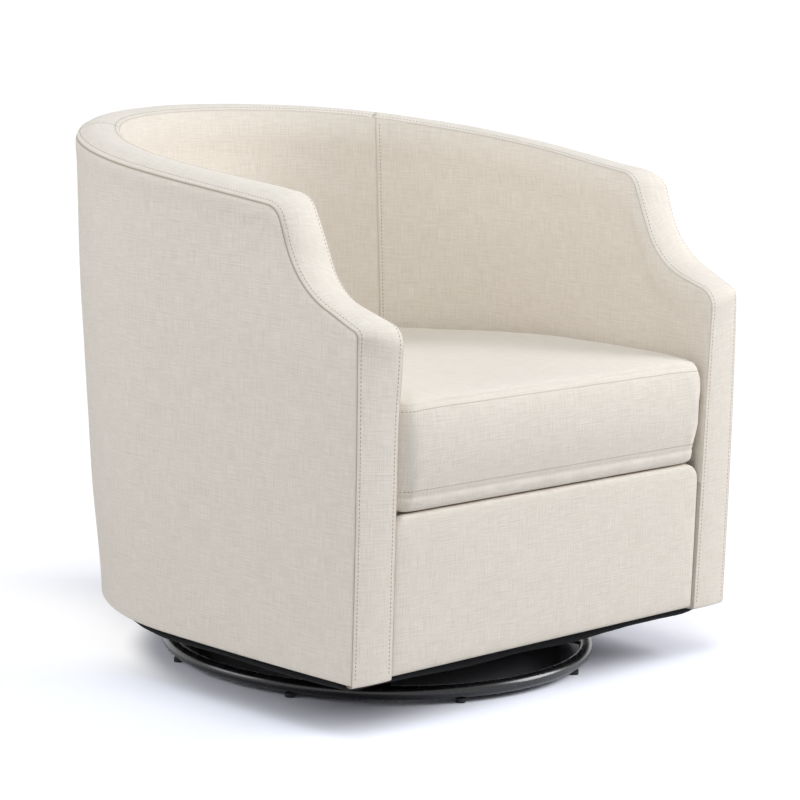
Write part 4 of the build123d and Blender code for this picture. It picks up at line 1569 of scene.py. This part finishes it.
Finish = Cloth | NonWoven | Metal | Timber | Moulded

NODE_FINISHES: dict[str, Finish] = {
    "floor_glides": GLIDE_PLASTIC,
    "spokes": BLACK_STEEL,
    "lower_race": BLACK_STEEL,
    "swivel_plate": BLACK_STEEL,
    "slide_ring": NYLON,
    "king_pin": ZINC,
    "pin_washer": ZINC,
    "plate_bolts": ZINC,
    "tee_nuts": ZINC,
    "spring_clips": ZINC,
    "springs": SPRING_STEEL,
    "base_board": PLYWOOD,
    "side_board_left": PLYWOOD,
    "side_board_right": PLYWOOD,
    "top_rail": PLYWOOD,
    "back_posts": SOFTWOOD,
    "seat_rail": SOFTWOOD,
    "front_board": SOFTWOOD,
    "front_rail": SOFTWOOD,
}


class Dresser:
    """Gives pieces their finish and body, and hides the CAD nodes that they stand for."""

    def __init__(self) -> None:
        self.made: dict[str, bpy.types.Material] = {}

    def material(self, finish: Finish) -> bpy.types.Material:
        """The finish's material, made once."""
        if finish.name not in self.made:
            self.made[finish.name] = finish.make()
        return self.made[finish.name]

    def dress(
        self,
        obj: bpy.types.Object,
        finish: Finish,
        body: str,
        slot: str,
        replaces: tuple[str, ...] = (),
        fill: float | None = None,
    ) -> None:
        """Finishes a new piece.

        Args:
            obj: The piece.
            finish: Its finish.
            body: The CAD body that it rides on.
            slot: A material slot's name; not used.
            replaces: CAD nodes that it stands for.
            fill: How full a padded piece is, or None; not used.
        """
        obj.data.materials.clear()
        obj.data.materials.append(self.material(finish))
        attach(obj, body)
        if replaces:
            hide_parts(*replaces)
        log.info("%s: %d faces on %s", obj.name, len(obj.data.polygons), body)

    def dress_nodes(self) -> None:
        """Gives each CAD node that stays its finish."""
        for name, finish in NODE_FINISHES.items():
            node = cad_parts[name]
            node.data.materials.clear()
            node.data.materials.append(self.material(finish))


# Studio -----------------------------------------------------------------------------------


@dataclass(frozen=True)
class Lamp:
    """A square soft light that looks at the chair."""

    name: str
    place: tuple[float, float, float]
    size: float
    power: float
    aim: tuple[float, float, float] = (0.0, 0.0, 0.4)
    tone: Colour = (0.965, 0.972, 1.0)

    def hang(self) -> None:
        """Adds the lamp."""
        data = bpy.data.lights.new(self.name, "AREA")
        data.shape, data.size, data.energy, data.color = "SQUARE", self.size, self.power, self.tone
        lamp = bpy.data.objects.new(self.name, data)
        bpy.context.scene.collection.objects.link(lamp)
        lamp.location = self.place
        lamp.rotation_euler = (Vector(self.aim) - Vector(self.place)).to_track_quat("-Z", "Y").to_euler()


@dataclass
class Studio:
    """White floor, soft lamps and the camera of the photograph."""

    camera_place: tuple[float, float, float] = (-2.7342, -2.7985, 1.0198)
    azimuth: float = math.radians(-45.31)
    pitch: float = math.radians(9.82)
    roll: float = math.radians(1.89)
    lens: float = 128.38
    ambient: float = 0.36
    floor_bounce: float = 0.6
    floor_seen: float = 1.25
    # how dark the floor colour is within the ring of the base: painted shade
    floor_inside: float = 0.3
    floor_tone: Colour = (0.955, 0.96, 1.03)
    white: float = 1.05
    dim_edge: tuple[float, float] = (0.29, 0.25)
    far_edge: tuple[float, float] = (0.40, 0.85)
    # the next four set a white glow painted over the floor's shadow to the left of the chair: painted
    # light
    clear_edge: tuple[float, float] = (0.30, 0.36)
    behind_edge: tuple[float, float] = (0.26, 0.06)
    left_edge: tuple[float, float] = (0.05, -0.27)
    left_share: float = 0.85
    sensor: float = 36.0
    lamps: tuple[Lamp, ...] = (
        Lamp("top_lamp", (-1.1, -1.2, 3.0), 2.0, 40.0, tone=(0.9, 0.968, 1.0)),
        Lamp("front_lamp", (2.9, -2.3, 2.1), 2.0, 112.0, tone=(0.962, 0.972, 1.0)),
        Lamp("left_lamp", (-2.6, 1.7, 1.5), 1.8, 36.0),
    )

    def build(self) -> None:
        """Sets up the whole studio."""
        self._floor()
        self._world()
        for lamp in self.lamps:
            lamp.hang()
        self._camera()
        bpy.context.scene.view_settings.view_transform = "Standard"

    @staticmethod
    def _seen_white(tree: bpy.types.NodeTree) -> Socket:
        """1 for rays that show the background: to the camera, in gloss and through glass."""
        path = tree.nodes.new("ShaderNodeLightPath")
        first, second = tree.nodes.new("ShaderNodeMath"), tree.nodes.new("ShaderNodeMath")
        first.operation = second.operation = "MAXIMUM"
        tree.links.new(path.outputs["Is Camera Ray"], first.inputs[0])
        tree.links.new(path.outputs["Is Glossy Ray"], first.inputs[1])
        tree.links.new(first.outputs[0], second.inputs[0])
        tree.links.new(path.outputs["Is Transmission Ray"], second.inputs[1])
        return second.outputs[0]

    @staticmethod
    def _eased(bench: NodeBench, value: Socket, edge: tuple[float, float]) -> Socket:
        """Eases from 0 at the edge's first value to 1 at its second."""
        inputs = {0: value, 1: edge[0], 2: edge[1]}
        return bench.node("MapRange", inputs, interpolation_type="SMOOTHSTEP").outputs[0]

    def _floor(self) -> None:
        """A pale floor that looks white and keeps the shadow, with painted shade within the ring of the
        base and a white glow painted over the shadow to the left of the chair.
        """
        deselect()
        bpy.ops.mesh.primitive_plane_add(size=60)
        floor = bpy.context.object
        floor.name = "studio_floor"
        bench = NodeBench("studio_floor")
        tree = bench.tree
        tree.nodes.remove(bench.shader)
        seen = self._seen_white(tree)
        white = bench.node("Emission", {"Strength": self.white}).outputs[0]
        place = bench.node("TexCoord").outputs["Object"]
        swivel = (0.0, SWIVEL_Y * MM, 0.0)
        off = bench.node("VectorMath", {0: place, 1: swivel}, operation="SUBTRACT").outputs[0]
        reach = bench.node("VectorMath", {0: off}, operation="LENGTH").outputs["Value"]
        lit = tuple(self.floor_seen * c for c in self.floor_tone)
        # painted shade: the floor colour darkens within the ring of the base
        painted_floor_shade = tuple(self.floor_inside * c for c in self.floor_tone)
        open_floor = bench.mix(self._eased(bench, reach, self.dim_edge), lit, painted_floor_shade)
        span = bench.mix(seen, (self.floor_bounce,) * 3, open_floor)
        shadowed = bench.node("BsdfDiffuse", {"Color": span}).outputs[0]
        to_camera = {0: off, 1: (-0.7, -0.71, 0.0)}
        ahead = bench.node("VectorMath", to_camera, operation="DOT_PRODUCT").outputs["Value"]
        across = bench.node("SeparateXYZ", {0: off}).outputs[0]
        far = self._eased(bench, reach, self.far_edge)
        # painted light: the floor to the left of the chair turns to white glow over its shadow
        behind = self._eased(bench, ahead, self.behind_edge)
        side = bench.math("MULTIPLY", behind, self._eased(bench, across, self.left_edge))
        side = bench.math("MULTIPLY", side, self._eased(bench, reach, self.clear_edge))
        backdrop_and_painted_light = bench.math("MAXIMUM", far, bench.math("MULTIPLY", side, self.left_share))
        share = bench.math("MULTIPLY", backdrop_and_painted_light, seen)
        both = bench.node("MixShader", {0: share, 1: shadowed, 2: white}).outputs[0]
        tree.links.new(both, tree.nodes["Material Output"].inputs["Surface"])
        floor.data.materials.append(bench.material)

    def _world(self) -> None:
        """A white surround: plain light for the object, full white to the eye."""
        world = bpy.data.worlds.new("studio")
        bpy.context.scene.world = world
        world.use_nodes = True
        tree = world.node_tree
        back = tree.nodes["Background"]
        tint = tree.nodes.new("ShaderNodeMix")
        tint.data_type = "RGBA"
        tint.inputs[6].default_value = (0.95, 0.96, 1.0, 1.0)
        tint.inputs[7].default_value = (1.0, 1.0, 1.0, 1.0)
        tree.links.new(self._seen_white(tree), tint.inputs[0])
        tree.links.new(tint.outputs[2], back.inputs["Color"])
        level = tree.nodes.new("ShaderNodeMapRange")
        level.inputs[3].default_value = self.ambient
        level.inputs[4].default_value = 1.0
        tree.links.new(self._seen_white(tree), level.inputs[0])
        tree.links.new(level.outputs[0], back.inputs["Strength"])

    def _camera(self) -> None:
        """The camera at the photograph's place, angle and lens."""
        data = bpy.data.cameras.new("camera")
        data.lens, data.sensor_width = self.lens, self.sensor
        camera = bpy.data.objects.new("camera", data)
        bpy.context.scene.collection.objects.link(camera)
        a, p, r = self.azimuth, self.pitch, self.roll
        look = Vector((-math.sin(a) * math.cos(p), math.cos(a) * math.cos(p), -math.sin(p)))
        right = Vector((math.cos(a), math.sin(a), 0.0))
        up = right.cross(look)
        right, up = right * math.cos(r) + up * math.sin(r), up * math.cos(r) - right * math.sin(r)
        turn = Matrix((right, up, -look)).transposed().to_4x4()
        camera.matrix_world = Matrix.Translation(self.camera_place) @ turn
        bpy.context.scene.camera = camera


# Assembly ---------------------------------------------------------------------------------


class Chair:
    """Builds every visible piece and dresses it."""

    def __init__(self) -> None:
        self.dresser = Dresser()
        self.band = Band()
        self.walls = WallCovers()
        self.cushion = SeatCushion()

    def build_covers(self) -> None:
        """The band, the outside and inside covers, the front panel and the deck."""
        for obj in self.band.panels():
            side = obj.name.removeprefix("band_")
            self.dresser.dress(obj, LINEN, "chair", "linen", (f"border_{side}",), 0.8)
        for side in Side:
            for inside, place in ((False, "outside"), (True, "inside")):
                obj = self.walls.panel(side, inside)
                self.dresser.dress(obj, LINEN, "chair", "linen", (f"{place}_{side.value}",), 0.7)
        self.dresser.dress(FrontPanel().build(), LINEN, "chair", "linen", ("front_panel",), 0.7)
        self.dresser.dress(Deck().build(), DECK_CLOTH, "chair", "deck_cloth", ("deck_pad",), 0.6)

    def build_cushion(self) -> None:
        """The loose seat cushion."""
        self.dresser.dress(self.cushion.cover(), LINEN, "cushion", "linen", ("cushion_cover",), 0.8)
        self.dresser.dress(self.cushion.core(), FOAM, "cushion", "foam", ("cushion_core",), 0.9)
        self.dresser.dress(self.cushion.zip_strip(), ZIP_TAPE, "cushion", "zip_tape", ("cushion_zip",))

    def build_base(self) -> None:
        """The tube ring and the dust cover."""
        self.dresser.dress(BaseRing().build(), BLACK_STEEL, "base", "black_steel", ("base_ring",))
        cover = DustCover().build()
        self.dresser.dress(cover, DUST_CLOTH, "chair", "dust_cloth", ("dust_cover",))

    def build_stitches(self) -> None:
        """The topstitches beside both seams of the band and on the cushion's boxing."""
        stitches = Stitches()
        lines = self.band.stitch_lines() + self.walls.cross_stitches()
        self.dresser.dress(stitches.sew("band_topstitch", lines), THREAD, "chair", "linen")
        lines = self.cushion.stitch_lines()
        self.dresser.dress(stitches.sew("cushion_topstitch", lines), THREAD, "cushion", "linen")


def main() -> None:
    """Builds the chair and the studio round the frame."""
    logging.basicConfig(level=logging.INFO, format="%(message)s")
    chair = Chair()
    chair.dresser.dress_nodes()
    chair.build_covers()
    chair.build_cushion()
    chair.build_base()
    chair.build_stitches()
    Studio().build()


if __name__ == "__main__":
    main()
